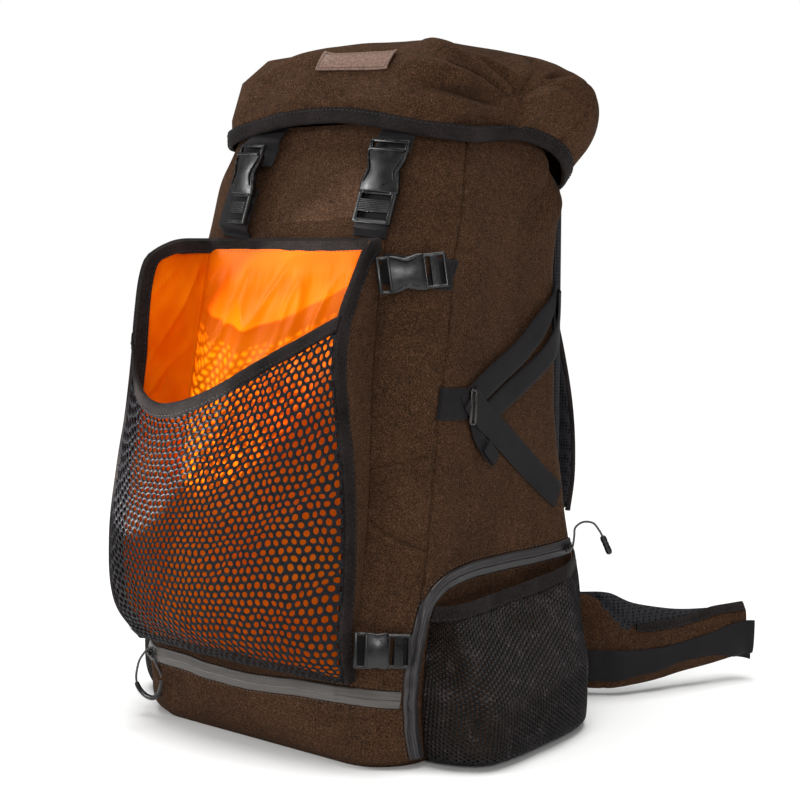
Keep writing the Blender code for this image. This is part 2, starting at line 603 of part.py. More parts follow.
def pocket_place(back, up):
    """Point on the right pocket's cloth: back and up run 0 to 1, up 0 is at the bag's foot."""
    mouth, belly = table_row(POCKET_ROWS, back)
    t = POCKET_FRONT_T + (POCKET_BACK_T - POCKET_FRONT_T) * back
    if up <= 0.0:
        return bag(t, POCKET_BOTTOM, SIDE_STAND)
    fullness = 0.94 + 0.06 * sin(pi * min(up * 2, 1.0)) - POCKET_MOUTH_DRAW * smooth_step(up, 0.35, 1.0)
    return bag(t, POCKET_BOTTOM + (mouth - POCKET_BOTTOM) * up, SIDE_STAND + max(belly, 0.0) * fullness)


def pocket(side):
    """The pocket's surface on one side, out metres off its inner face."""
    step, foot = 0.02, Vector((0, 0, -1))

    def point(back, up, out):
        before, after = max(back - step, 0), min(back + step, 1)
        low, high = max(up - step, 0.0001), min(up + step, 1)
        across = pocket_place(after, max(up, 0.01)) - pocket_place(before, max(up, 0.01))
        upward = pocket_place(back, high) - pocket_place(back, low)
        normal = across.cross(upward).normalized()
        if up < POCKET_UPS[2]:
            normal = foot if up <= 0.0 else (normal + foot).normalized()
        here = pocket_place(back, up) + normal * out
        return Vector((side * here.x, here.y, here.z))
    return point


def make_side_pockets(side, word):
    """Bellied pocket of stretch mesh at the foot of the side, its mouth bound in tape."""
    backs = [row[0] for row in POCKET_ROWS]
    slab("side_pocket_" + word, pocket(side), backs, POCKET_UPS, 0.0, POCKET_CLOTH, "black_mesh")
    slab("side_pocket_binding_" + word, pocket(side), backs, POCKET_UPS[-2:],
         POCKET_CLOTH + GAP, 2 * POCKET_CLOTH + GAP, "black_tape")


def make_cinch_straps(side, word):
    """Crossed webbing on the side that draws the bag in, running to the back panel's edge."""
    first = SIDE_STAND
    second, third = first + GAP + WEBBING, first + 2 * (GAP + WEBBING)
    for name, rows, width, low, high, segments in (
            ("cinch_loop_", CINCH_LOOP_ROWS, 0.024, first, second + WEBBING, 3),
            ("cinch_strap_lower_", CINCH_LOWER_ROWS, WEBBING_WIDTH, first, first + WEBBING, 12),
            ("cinch_strap_upper_", CINCH_UPPER_ROWS, WEBBING_WIDTH, second, second + WEBBING, 12),
            ("cinch_tail_", CINCH_TAIL_ROWS, 0.015, third, third + WEBBING, 4)):
        strip(name + word, bag, rows, width, low, high, "black_tape", segments, side=side)


def pad(name, sections, finish_name, corners=10, power=0.7):
    """A stuffed band through sections of (middle, half width vector, half thickness vector)."""
    rings = []
    for middle, wide, thick in sections:
        ring = []
        for i in range(corners):
            angle = 2 * pi * (i + 0.5) / corners
            across = abs(cos(angle)) ** power * (1 if cos(angle) > 0 else -1)
            through = abs(sin(angle)) ** power * (1 if sin(angle) > 0 else -1)
            ring.append(middle + wide * across + thick * through)
        rings.append(ring)
    return loft(name, rings, finish_name)


def strap_sections(rows, thickness, count, side=1, wide_way=None):
    """Sections of a band along (x, y, z, width) rows, flat to the sideways direction."""
    sections = []
    for share in spread(0, 1, count):
        x, y, z, width = path_at(rows, share)
        ahead = Vector(path_at(rows, min(share + 0.02, 1))[:3])
        behind = Vector(path_at(rows, max(share - 0.02, 0))[:3])
        along = (ahead - behind).normalized()
        wide = wide_way or Vector((1, 0, 0))
        wide = (wide - along * wide.dot(along)).normalized()
        thick = along.cross(wide).normalized()
        mirror = Vector((side, 1, 1))
        sections.append((Vector((x, y, z)) * mirror, wide * width / 2 * mirror,
                         thick * thickness / 2 * mirror))
    return sections


def make_back_panel():
    """Padded back of spacer mesh, from the bag's foot to the lid's back edge."""
    def ring(y, inset):
        dims = (PANEL_HALF_WIDTH - inset, inset - PANEL_HALF_HEIGHT, PANEL_HALF_HEIGHT - inset,
                PANEL_RADIUS, PANEL_RADIUS)
        places = (outline(dims, t) for t in ring_stations(dims, (3, 3, 4, 3, 3)))
        return [(x, y, PANEL_MIDDLE_Z + z) for x, z in places]
    front = max(row[3] for row in BODY_ROWS) + GAP
    loft("back_panel", [ring(front, 0.004), ring(front + 0.004, 0.0),
                        ring(BACK_Y - 0.009, 0.0), ring(BACK_Y, 0.011)], "padded_mesh")


def make_shoulder_strap(side, word):
    """Padded strap, the adjuster under its end and the webbing down to the back panel."""
    pad("shoulder_strap_" + word, strap_sections(SHOULDER_ROWS, SHOULDER_PAD, 12, side), "padded_mesh")
    x, y, z, _ = SHOULDER_ROWS[-1]
    middle = Vector((side * (x + 0.0024), y - 0.0046, z - 0.0131))
    turn = Matrix.Rotation(-ADJUSTER_TURN * side, 4, "Y")
    frame = Matrix.Translation(middle) @ turn @ Matrix.Rotation(pi / 2 - ADJUSTER_LEAN, 4, "X")
    plate("strap_adjuster_" + word, frame, (-0.016, -0.0115, 0.0115, 0.016),
          (-0.013, -0.009, -0.003, 0.003, 0.009, 0.013), -0.002, 0.002, "black_plastic",
          holes=((1, 1), (1, 3)))
    rows = ((x + 0.0046, y - 0.0094, z - 0.0262, 0.020), (x + 0.0060, y - 0.0135, z - 0.0370, 0.020),
            (x + 0.0085, BACK_Y + 0.0018, z - 0.0560, 0.020),
            (x + 0.0115, BACK_Y + 0.0015, z - 0.0700, 0.020))
    pad("strap_webbing_" + word, strap_sections(rows, 0.0018, 7, side), "black_tape", 6, 0.5)


def make_haul_loop():
    """Loop of webbing on the back between the shoulder straps."""
    feet = [(1.30 * HAUL_LOOP_HALF, 0.0018), (1.06 * HAUL_LOOP_HALF, 0.0022)]
    bow = [(HAUL_LOOP_HALF * cos(a), 0.0035 + HAUL_LOOP_REACH * sin(a)) for a in spread(0.3, pi - 0.3, 7)]
    places = feet + bow + [(-x, y) for x, y in reversed(feet)]
    rows = [(x, BACK_Y + y, HAUL_LOOP_Z, 0.016) for x, y in places]
    pad("haul_loop", strap_sections(rows, 0.0022, 17, wide_way=Vector((0, 0, 1))), "black_tape", 6, 0.5)


def belt_section(x):
    """Belt at a distance x along its table, mirrored for negative x: middle, edge and face vectors."""
    y, low, high, thickness = table_row(BELT_ROWS, abs(x))
    ahead = table_row(BELT_ROWS, min(abs(x) + 0.004, BELT_TIP))[0]
    behind = table_row(BELT_ROWS, max(abs(x) - 0.004, 0.0))[0]
    reach = min(abs(x) + 0.004, BELT_TIP) - max(abs(x) - 0.004, 0.0)
    along = Vector((reach, ahead - behind, 0)).normalized()
    normal = Vector((along.y, -along.x, 0))
    if x < 0:
        normal.x *= -1
    return Vector((x, y, (low + high) / 2)), Vector((0, 0, (high - low) / 2)), normal * thickness / 2


def make_belt():
    """Hip belt: one padded band behind the bag's foot, whose fins curve back round the hips."""
    right = (0.055, 0.105, 0.130, 0.150, 0.165, 0.178, 0.191, 0.205, 0.225, BELT_TIP)
    stations = [-x for x in reversed(right)] + [0.0, *right]
    pad("hip_belt", [belt_section(x) for x in stations], "loden_wool", 10, 0.6)
    for side, word in ((1, "right"), (-1, "left")):
        def point(x, up, out):
            middle, _, face = belt_section(side * min(x, BELT_TIP))
            normal = face.normalized()
            along = Vector((-normal.y, normal.x, 0)) * side
            here = middle + along * max(x - BELT_TIP, 0.0) * 1.6 + face + normal * out
            low, high = table_row(BELT_WEBBING_ROWS, x)
            return Vector((here.x, here.y, low + (high - low) * up))
        first, last = BELT_WEBBING_ROWS[0][0], BELT_WEBBING_ROWS[-1][0]
        slab("belt_webbing_" + word, point, [x for x in right if x >= first] + [last], (0.0, 1.0),
             GAP, GAP + WEBBING, "black_tape")


def smooth_route(points, spacing):
    """Points along a smooth curve through a route, spaced evenly."""
    dense = [Vector(path_at(points, share)) for share in spread(0, 1, 200)]
    length = sum((b - a).length for a, b in zip(dense, dense[1:]))
    count = max(int(length / spacing), 6)
    wanted, reached, route = length / count, 0.0, [dense[0]]
    for a, b in zip(dense, dense[1:]):
        reached += (b - a).length
        if reached >= wanted * len(route) - 1e-9 and len(route) < count:
            route.append(b)
    return route + [dense[-1]]


def cord(name, route, diameter):
    curve = bpy.data.curves.new(name, "CURVE")
    curve.dimensions = "3D"
    curve.bevel_depth = diameter / 2
    curve.bevel_resolution = 2
    curve.use_fill_caps = True
    points = smooth_route(route, diameter * 2.5)
    spline = curve.splines.new("POLY")
    spline.points.add(len(points) - 1)
    for slot, point in zip(spline.points, points):
        slot.co = (*point, 1.0)
    curve.materials.append(material("black_tape"))
    piece = bpy.data.objects.new(name, curve)
    bpy.context.collection.objects.link(piece)
    return piece


def make_pulls():
    """Zip pulls: a cord with a moulded grip on the right, a cord loop with a sheath on the left."""
    cord("zip_cord_right", RIGHT_CORD_ROUTE, CORD_DIAMETER)
    start, end = Vector(RIGHT_CORD_ROUTE[-1]), Vector(RIGHT_GRIP_END)
    along = (end - start).normalized()
    start += along * GAP
    rings = [round_ring(start + (end - start) * share, along, 0.0030 * size, 8)
             for share, size in ((0.0, 0.7), (0.12, 1.0), (0.85, 1.0), (1.0, 0.6))]
    loft("zip_grip_right", rings, "black_plastic")

    cord("zip_cord_left", LEFT_CORD_ROUTE, CORD_DIAMETER)
    route = smooth_route(LEFT_CORD_ROUTE, CORD_DIAMETER * 2.5)
    first, last = (round(share * len(route)) for share in LEFT_SHEATH)
    outer, inner = [], []
    for before, here, after in zip(route[first - 1:], route[first:], route[first + 1:last + 1]):
        outer.append(round_ring(here, after - before, CORD_DIAMETER * 1.15, 8))
        inner.append(round_ring(here, after - before, CORD_DIAMETER / 2 + GAP, 8))
    ring_tube("zip_grip_left", outer + inner[::-1], "black_plastic")


def build():
    clear_scene()
    make_body()
    make_lid()
    make_pouch()
    make_zips()
    make_back_panel()
    make_haul_loop()
    make_belt()
    make_pulls()
    for side, word in ((1, "right"), (-1, "left")):
        make_lid_straps(side, word)
        make_side_buckles(side, word)
        make_side_pockets(side, word)
        make_cinch_straps(side, word)
        make_shoulder_strap(side, word)


build()
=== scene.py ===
import random
from functools import lru_cache
from math import atan2, copysign, cos, exp, pi, radians, sin, sqrt

import bmesh
import bpy
from mathutils import Matrix, Vector, noise


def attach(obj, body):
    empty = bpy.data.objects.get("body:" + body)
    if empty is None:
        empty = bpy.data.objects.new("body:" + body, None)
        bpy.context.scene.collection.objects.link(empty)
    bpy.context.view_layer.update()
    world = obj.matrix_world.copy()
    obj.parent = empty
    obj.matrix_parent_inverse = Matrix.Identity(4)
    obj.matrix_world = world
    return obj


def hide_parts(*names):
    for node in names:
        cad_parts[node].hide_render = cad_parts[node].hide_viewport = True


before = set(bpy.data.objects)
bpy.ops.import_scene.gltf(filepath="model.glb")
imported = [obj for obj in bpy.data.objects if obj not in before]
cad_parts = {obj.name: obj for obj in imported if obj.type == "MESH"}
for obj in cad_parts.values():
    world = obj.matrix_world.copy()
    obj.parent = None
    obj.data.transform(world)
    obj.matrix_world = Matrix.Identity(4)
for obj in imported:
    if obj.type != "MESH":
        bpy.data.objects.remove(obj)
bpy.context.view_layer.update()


# Studio. The pack stands on a plain pale floor under soft boxes, seen from its front right at a
# little above half its height.
def add(tree, kind, inputs=(), **settings):
    """Add a shader node; inputs maps a socket to a value or to another node's output."""
    made = tree.nodes.new(kind)
    for name, value in settings.items():
        setattr(made, name, value)
    for name, value in dict(inputs).items():
        if isinstance(value, bpy.types.NodeSocket):
            tree.links.new(value, made.inputs[name])
        else:
            made.inputs[name].default_value = value
    return made


def colour(code):
    """Linear RGBA of an sRGB hex colour."""
    parts = (int(code[i:i + 2], 16) / 255 for i in (1, 3, 5))
    return (*(c / 12.92 if c <= 0.04045 else ((c + 0.055) / 1.055) ** 2.4 for c in parts), 1.0)


def new_material(name, hex_colour, **sockets):
    """A material on one Principled shader with these constant values."""
    made = bpy.data.materials.new(name)
    made.use_nodes = True
    shader = made.node_tree.nodes["Principled BSDF"]
    shader.inputs["Base Color"].default_value = colour(hex_colour)
    for socket, value in sockets.items():
        shader.inputs[socket.replace("_", " ")].default_value = value
    return made, made.node_tree, shader


EYE_TURN, EYE_RISE, EYE_DISTANCE = radians(38), radians(6), 1.41
aim = Vector((0.0, 0.032, 0.276))
away = Vector((sin(EYE_TURN) * cos(EYE_RISE), -cos(EYE_TURN) * cos(EYE_RISE), sin(EYE_RISE)))
eye = bpy.data.objects.new("eye", bpy.data.cameras.new("eye"))
eye.data.lens, eye.data.sensor_width = 67.5, 36
eye.location = aim + away * EYE_DISTANCE
eye.rotation_euler = (-away).to_track_quat("-Z", "Y").to_euler()
bpy.context.scene.collection.objects.link(eye)
bpy.context.scene.camera = eye

for name, place, width, watts in (
        ("window_left", (-1.45, -1.35, 1.00), 0.55, 17.5),
        ("window_right", (1.58, -1.31, 1.18), 0.5, 10.5),
        ("box_over_eye", (0.45, -1.70, 1.55), 0.9, 2.5)):
    lamp = bpy.data.lights.new(name, "AREA")
    lamp.size, lamp.energy = width, watts
    lamp_object = bpy.data.objects.new(name, lamp)
    lamp_object.location = place
    lamp_object.rotation_euler = (Vector((0, 0, 0.3)) - Vector(place)).to_track_quat("-Z", "Y").to_euler()
    bpy.context.scene.collection.objects.link(lamp_object)
# a small lamp low on the left shines up through the net into the pouch
snoot = bpy.data.lights.new("snoot", "SPOT")
snoot.energy, snoot.shadow_soft_size, snoot.spot_size, snoot.spot_blend = 38, 0.004, radians(17.6), 0.28
snoot_object = bpy.data.objects.new("snoot", snoot)
snoot_object.location = (-0.30, -0.45, 0.014)
snoot_object.rotation_euler = (Vector((-0.03, -0.12, 0.318)) - Vector((-0.30, -0.45, 0.014))).to_track_quat("-Z", "Y").to_euler()
bpy.context.scene.collection.objects.link(snoot_object)
ceiling = bpy.data.lights.new("ceiling", "SUN")
ceiling.energy, ceiling.angle = 2.9, radians(40)
bpy.context.scene.collection.objects.link(bpy.data.objects.new("ceiling", ceiling))

sky = bpy.data.worlds.new("studio")
sky.use_nodes = True
# the walls are seen as white paper, and light the pack with a fifth of that
seen = add(sky.node_tree, "ShaderNodeLightPath").outputs["Is Camera Ray"]
strength = add(sky.node_tree, "ShaderNodeMapRange", {"Value": seen, "To Min": 0.20, "To Max": 1.0})
sky.node_tree.links.new(strength.outputs["Result"], sky.node_tree.nodes["Background"].inputs["Strength"])
sky.node_tree.nodes["Background"].inputs["Color"].default_value = (1, 1, 1, 1)
bpy.context.scene.world = sky
bpy.context.scene.view_settings.view_transform = "Standard"

floor_paper, _, _ = new_material("white_paper", "#FAFAF9", Roughness=0.9)
paper = bmesh.new()
bmesh.ops.create_grid(paper, x_segments=1, y_segments=1, size=12)
paper_data = bpy.data.meshes.new("floor")
paper.to_mesh(paper_data)
paper_data.materials.append(floor_paper)
floor = bpy.data.objects.new("floor", paper_data)
bpy.context.scene.collection.objects.link(floor)


# Main bag. A tall bag of felted loden wool, sewn from a front panel and two side panels that meet
# in a vertical seam at each front corner, on a flat base, its mouth open under the lid.
def read_rows(table, key):
    """Values of a table at a key, on a smooth curve through its rows."""
    key = min(max(key, table[0][0]), table[-1][0])
    index = max(i for i in range(len(table) - 1) if table[i][0] <= key + 1e-12)
    start, end = table[index], table[index + 1]
    before, after = table[max(index - 1, 0)], table[min(index + 2, len(table) - 1)]
    step = end[0] - start[0]
    u = (key - start[0]) / step
    values = []
    for column in range(1, len(start)):
        leave = (end[column] - before[column]) / (end[0] - before[0]) * step
        arrive = (after[column] - start[column]) / (after[0] - start[0]) * step
        values.append((2 * u**3 - 3 * u**2 + 1) * start[column] + (u**3 - 2 * u**2 + u) * leave
                      + (3 * u**2 - 2 * u**3) * end[column] + (u**3 - u**2) * arrive)
    return values


def path_at(rows, share):
    """A point of a drawn path, share 0 to 1 by the rows' order."""
    return read_rows([(i / (len(rows) - 1), *row) for i, row in enumerate(rows)], share)


def ease(value, low, high):
    u = min(max((value - low) / (high - low), 0.0), 1.0)
    return u * u * (3 - 2 * u)


def spread(start, end, count):
    return [start + (end - start) * i / (count - 1) for i in range(count)]


# height, half width, front y, back y, front corner radius, back corner radius, flare at the back
BAG_ROWS = (
    (0.000, 0.144, -0.164, 0.078, 0.048, 0.028, 0.008), (0.010, 0.151, -0.173, 0.086, 0.052, 0.028, 0.012),
    (0.045, 0.152, -0.177, 0.088, 0.053, 0.026, 0.015), (0.090, 0.152, -0.174, 0.088, 0.055, 0.025, 0.017),
    (0.140, 0.150, -0.161, 0.088, 0.058, 0.025, 0.017), (0.200, 0.149, -0.147, 0.088, 0.060, 0.028, 0.009),
    (0.270, 0.147, -0.136, 0.088, 0.060, 0.030, 0.002), (0.340, 0.145, -0.126, 0.088, 0.060, 0.030, 0.000),
    (0.400, 0.142, -0.116, 0.088, 0.060, 0.030, 0.003), (0.450, 0.138, -0.102, 0.087, 0.057, 0.030, 0.012),
    (0.480, 0.135, -0.093, 0.085, 0.055, 0.032, 0.014), (0.500, 0.130, -0.084, 0.084, 0.050, 0.032, 0.011),
    (0.524, 0.123, -0.075, 0.080, 0.046, 0.034, 0.005))
# height, distance of the corner seam round the bag from the middle of the front
SEAM_ROWS = ((0.000, 0.160), (0.150, 0.1596), (0.203, 0.1578), (0.273, 0.1565), (0.346, 0.1594),
             (0.4155, 0.1562), (0.464, 0.1560), (0.502, 0.1485), (0.524, 0.146))
BAG_CLOTH = 0.0025


@lru_cache(maxsize=None)
def bag_dims(z):
    return read_rows(BAG_ROWS, z)


def runs(dims):
    """Lengths of half an outline's front, front corner, side, back corner and back."""
    half, front, back, front_radius, back_radius = dims[:5]
    return (half - front_radius, front_radius * pi / 2, back - back_radius - front - front_radius,
            back_radius * pi / 2, half - back_radius)


def outline(dims, t, out=0.0):
    """A point on a rounded rectangle, t metres round it from the middle of its front."""
    half, front, back, front_radius, back_radius = dims[:5]
    side, t = copysign(1, t), abs(t)
    flat, corner, straight, bend, _ = runs(dims)
    if t <= flat:
        x, y, nx, ny = t, front, 0.0, -1.0
    elif t <= flat + corner:
        angle = (t - flat) / front_radius
        nx, ny = sin(angle), -cos(angle)
        x, y = flat + front_radius * nx, front + front_radius + front_radius * ny
    elif t <= flat + corner + straight:
        x, y, nx, ny = half, front + front_radius + t - flat - corner, 1.0, 0.0
    else:
        left = t - flat - corner - straight
        angle = min(left / back_radius, pi / 2)
        nx, ny = cos(angle), sin(angle)
        x, y = half - back_radius + back_radius * nx, back - back_radius + back_radius * ny
        x -= max(left - bend, 0.0)
    return side * (x + out * nx), y + out * ny


def bag(t, z, out=0.0):
    """A point on the bag's cloth as cut, or out metres off it."""
    dims = bag_dims(round(z, 6))
    x, y = outline(dims, t, out)
    share = ease(y - out * (1 if y > 0.07 else 0), -0.06, 0.07) * min(abs(x) / 0.12, 1.0)
    return Vector((x + dims[5] * share * copysign(1, x), y, z))


def from_path(t, z, path):
    """Distance from a drawn line, and how far along it the nearest point lies, 0 to 1."""
    best, where = 9.0, 0.0
    for i, ((t0, z0), (t1, z1)) in enumerate(zip(path, path[1:])):
        dt, dz = t1 - t0, z1 - z0
        u = min(max(((t - t0) * dt + (z - z0) * dz) / (dt * dt + dz * dz), 0.0), 1.0)
        gap = sqrt((t - t0 - u * dt) ** 2 + (z - z0 - u * dz) ** 2)
        if gap < best:
            best, where = gap, (i + u) / (len(path) - 1)
    return best, where


def fold(t, z, path, height, width):
    """A soft fold along a drawn line, fading at both ends."""
    gap, where = from_path(t, z, path)
    if gap > 3 * width:
        return 0.0
    return height * exp(-(gap / width) ** 2) * sin(pi * min(max(where * 0.9 + 0.05, 0.0), 1.0)) ** 0.6


def seam(t, z, path, depth=0.0022, width=0.0012):
    """A stitched seam: a narrow groove with a small roll on both sides."""
    gap, _ = from_path(t, z, path)
    if gap > 0.012:
        return 0.0
    return -depth * exp(-(gap / width) ** 2) + depth * 0.35 * exp(-((gap - 0.0045) / 0.0025) ** 2)


# folds and seams as (distance round the bag, height) lines
BAG_SEAMS = (((0.1033, 0.2412), (0.1415, 0.2489), (0.1569, 0.2514)),
             ((0.1066, 0.1974), (0.1300, 0.1860), (0.1558, 0.1749)))
BAG_FOLDS = (  # line, height, width
    (((0.2750, 0.4900), (0.2560, 0.4620), (0.2367, 0.4400)), -0.0061, 0.0081),
    (((0.3000, 0.4800), (0.2830, 0.4560), (0.2600, 0.4250)), 0.0047, 0.0108),
    (((0.1500, 0.4700), (0.1420, 0.4300), (0.1330, 0.3900)), -0.0030, 0.0090),
    (((0.1640, 0.4300), (0.1700, 0.3800), (0.1650, 0.3300)), -0.0041, 0.0108),
    (((0.1750, 0.3300), (0.2100, 0.3500), (0.2500, 0.3800)), 0.0030, 0.0135),
    (((0.1750, 0.2600), (0.2050, 0.2300), (0.2300, 0.1900)), 0.0030, 0.0135),
    (((0.1200, 0.2350), (0.1250, 0.2150), (0.1350, 0.1950)), 0.0035, 0.0117),
    (((0.1150, 0.1800), (0.1220, 0.1500), (0.1250, 0.1200)), -0.0030, 0.0108),
    (((0.1450, 0.1700), (0.1400, 0.1400), (0.1350, 0.1100)), 0.0032, 0.0099),
    (((-0.1355, 0.0550), (-0.1055, 0.0370), (-0.1030, 0.0180)), 0.0041, 0.0063),
    (((-0.0800, 0.0420), (0.0100, 0.0300), (0.0900, 0.0380)), 0.0027, 0.0126))


@lru_cache(maxsize=None)
def bag_relief(t, z):
    """How far the worn cloth stands off the cut shape: slack, seams, puckers and folds."""
    s = abs(t)
    here = Vector((t * 9, z * 7, 3.1))
    relief = 0.0030 * noise.noise(here) + 0.0013 * noise.noise(here * 2.9)
    relief *= ease(z, 0.0, 0.05) * (0.25 if s < 0.10 and z < 0.43 else 1.0)
    corner = read_rows(SEAM_ROWS, z)[0]
    gap = abs(s - corner)
    if gap < 0.03:
        relief += -0.0022 * exp(-(gap / 0.0011) ** 2) + 0.0006 * exp(-((gap - 0.0045) / 0.0025) ** 2)
        relief += 0.0006 * exp(-(gap / 0.009) ** 2) * sin(z * 330 + 3 * noise.noise(Vector((z * 20, 0, t))))
    for path in BAG_SEAMS:
        relief += seam(s, z, path)
    for path, height, width in BAG_FOLDS:
        relief += fold(t if path[0][0] < 0 else s, z, path, height, width)
    relief += 0.0050 * ease(-t, 0.10, 0.16) * ease(z, 0.30, 0.38) * (1 - ease(z, 0.47, 0.52))
    return relief


def skin(t, z, out=0.0):
    """A point on the worn cloth of the bag."""
    return bag(t, z, out + bag_relief(round(t, 5), round(z, 5)))


def spread_skin(mesh, across, up, place, metres=None):
    """Add a grid to a mesh and put each corner where place(u, v) says; UVs are in metres."""
    made = bmesh.ops.create_grid(mesh, x_segments=across, y_segments=up, size=0.5)["verts"]
    uv = mesh.loops.layers.uv.verify()
    shares = {v: (round(v.co.x + 0.5, 6), round(v.co.y + 0.5, 6)) for v in made}
    for vert, (u, v) in shares.items():
        vert.co = place(u, v)
    if metres is None:
        wide = sum((place(u + 0.02, 0.5) - place(u, 0.5)).length for u in spread(0, 0.98, 50))
        tall = sum((place(0.5, v + 0.02) - place(0.5, v)).length for v in spread(0, 0.98, 50))
        metres = lambda u, v: (u * wide, v * tall)
    for face in {f for v in made for f in v.link_faces}:
        for loop in face.loops:
            loop[uv].uv = metres(*shares[loop.vert])
    return made


def finish(name, mesh, closed=True, merge=1e-6):
    """Turn a mesh into a smooth object at the origin."""
    bmesh.ops.remove_doubles(mesh, verts=mesh.verts[:], dist=merge)
    if closed:
        bmesh.ops.recalc_face_normals(mesh, faces=mesh.faces[:])
    data = bpy.data.meshes.new(name)
    mesh.to_mesh(data)
    mesh.free()
    data.shade_smooth()
    data.set_sharp_from_angle(angle=radians(50))
    piece = bpy.data.objects.new(name, data)
    bpy.context.scene.collection.objects.link(piece)
    return piece


def dress(piece, material, slot, *nodes):
    """Give a piece its material, let it ride on the pack and stand for these CAD nodes."""
    piece.data.materials.append(material)
    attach(piece, "root")
    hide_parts(*nodes)
    return piece


# stations from the middle of the base, up the outside, over the mouth and down the inside
BASE, OUTSIDE, INSIDE, BOTTOM = range(4)
bag_stations = ([(BASE, s) for s in (0.0, 0.3, 0.6, 0.85, 0.96)]
                + [(OUTSIDE, z) for z in (0.0, 0.001, 0.003, 0.006)] + [(OUTSIDE, z) for z in spread(0.010, 0.166, 56) + spread(0.1675, 0.2555, 66) + spread(0.258, 0.524, 88)]
                + [(INSIDE, z) for z in (0.524, 0.50, 0.45, 0.34, 0.20, 0.09, 0.010, 0.0025)]
                + [(BOTTOM, s) for s in (0.6, 0.0)])
# columns as shares: 0 to 1 from the middle of the front to the corner seam, 1 to 2 on to the middle of the back
bag_half_columns = spread(0.0, 0.955, 44) + spread(0.962, 1.0, 8) + spread(1.0022, 1.017, 8) + spread(1.026, 2.0, 104)
bag_columns = [-c for c in reversed(bag_half_columns)] + bag_half_columns[1:]


def bag_place(u, v):
    kind, value = bag_stations[round(v * (len(bag_stations) - 1))]
    z = value if kind in (OUTSIDE, INSIDE) else (0.0 if kind == BASE else 0.0025)
    total, corner = sum(runs(bag_dims(round(z, 6)))), read_rows(SEAM_ROWS, z)[0]
    column = bag_columns[round(u * (len(bag_columns) - 1))]
    t = copysign(min(abs(column), 1) * corner + max(abs(column) - 1, 0) * (total - corner), column)
    if kind == OUTSIDE:
        return skin(t, z, 0.0) if z > 0.008 else bag(t, z, 0.0)
    here = bag(t, z, -BAG_CLOTH if kind in (INSIDE, BOTTOM) else 0.0)
    return Vector((here.x * value, here.y * value, z)) if kind in (BASE, BOTTOM) else here


def wool(name, hex_colour):
    """Felted loden: brown fibres of several shades under a short nap, dull, with a faint bloom."""
    made, tree, shader = new_material(name, hex_colour, Roughness=0.93, Sheen_Weight=0.03,
                                      Sheen_Roughness=0.45, Sheen_Tint=colour("#B59A80"))
    shader.inputs["Specular IOR Level"].default_value = 0.08
    place = add(tree, "ShaderNodeTexCoord").outputs["Object"]
    fibre = add(tree, "ShaderNodeTexNoise", {"Vector": place, "Scale": 950.0, "Detail": 3.0, "Roughness": 0.6})
    lump = add(tree, "ShaderNodeTexNoise", {"Vector": place, "Scale": 190.0, "Detail": 2.0, "Roughness": 0.6})
    patch = add(tree, "ShaderNodeTexNoise", {"Vector": place, "Scale": 16.0, "Detail": 3.0, "Roughness": 0.55})
    shade = add(tree, "ShaderNodeValToRGB", {"Fac": fibre.outputs["Fac"]})
    shade.color_ramp.elements[0].position, shade.color_ramp.elements[0].color = 0.29, colour("#1A110A")
    shade.color_ramp.elements[1].position, shade.color_ramp.elements[1].color = 0.74, colour("#624735")
    middle = shade.color_ramp.elements.new(0.5)
    middle.color = colour(hex_colour)
    both = add(tree, "ShaderNodeMath", {0: lump.outputs["Fac"], 1: patch.outputs["Fac"]}, operation="ADD")
    tone = add(tree, "ShaderNodeMapRange", {"Value": both.outputs[0], "From Min": 0.7, "From Max": 1.3,
                                            "To Min": 0.72, "To Max": 1.28})
    scaled = add(tree, "ShaderNodeVectorMath", {0: shade.outputs["Color"], "Scale": tone.outputs["Result"]},
                 operation="SCALE")
    tree.links.new(scaled.outputs["Vector"], shader.inputs["Base Color"])
    grain = add(tree, "ShaderNodeBump", {"Height": fibre.outputs["Fac"], "Strength": 0.45, "Distance": 0.0006})
    tree.links.new(grain.outputs["Normal"], shader.inputs["Normal"])
    return made


loden = wool("loden_wool_felted", "#3B281B")
bag_mesh = bmesh.new()
spread_skin(bag_mesh, len(bag_columns) - 1, len(bag_stations) - 1, bag_place, lambda u, v: (u, v * 0.55))
dress(finish("main_bag", bag_mesh), loden, "loden_wool", "pack_body")


# Lid. A deep cap of the same loden that bulges over the load and reaches down the back, gathered
# into a dart at the right front corner, where it meets the seam of its side.
# distance round the rim from the middle of the front, height of the rim
RIM_ROWS = ((0.000, 0.5255), (0.030, 0.5245), (0.060, 0.5205), (0.090, 0.5150), (0.120, 0.5095),
            (0.160, 0.5070), (0.200, 0.5105), (0.2235, 0.5110), (0.253, 0.5040), (0.278, 0.4895),
            (0.293, 0.4760), (0.320, 0.4670), (0.380, 0.4620), (0.460, 0.4600))
# share of the way from rim to crown, how far front and sides stand out, same for the back
LID_ROWS = ((0.00, 0.000, 0.000), (0.12, 0.000, 0.007), (0.28, 0.000, 0.017), (0.48, -0.003, 0.022),
            (0.66, -0.010, 0.017), (0.80, -0.021, 0.002), (0.90, -0.034, -0.016), (0.97, -0.051, -0.039),
            (1.00, -0.076, -0.074))
LID_CROWN, LID_FALL = 0.5985, 0.11
LID_HALF, LID_BACK_HALF, LID_FRONT, LID_BACK = 0.1325, 0.1540, -0.0860, 0.1100
LID_FRONT_RADIUS, LID_BACK_RADIUS, LID_LEAST_RADIUS, LID_CLOTH = 0.050, 0.030, 0.016, 0.0025


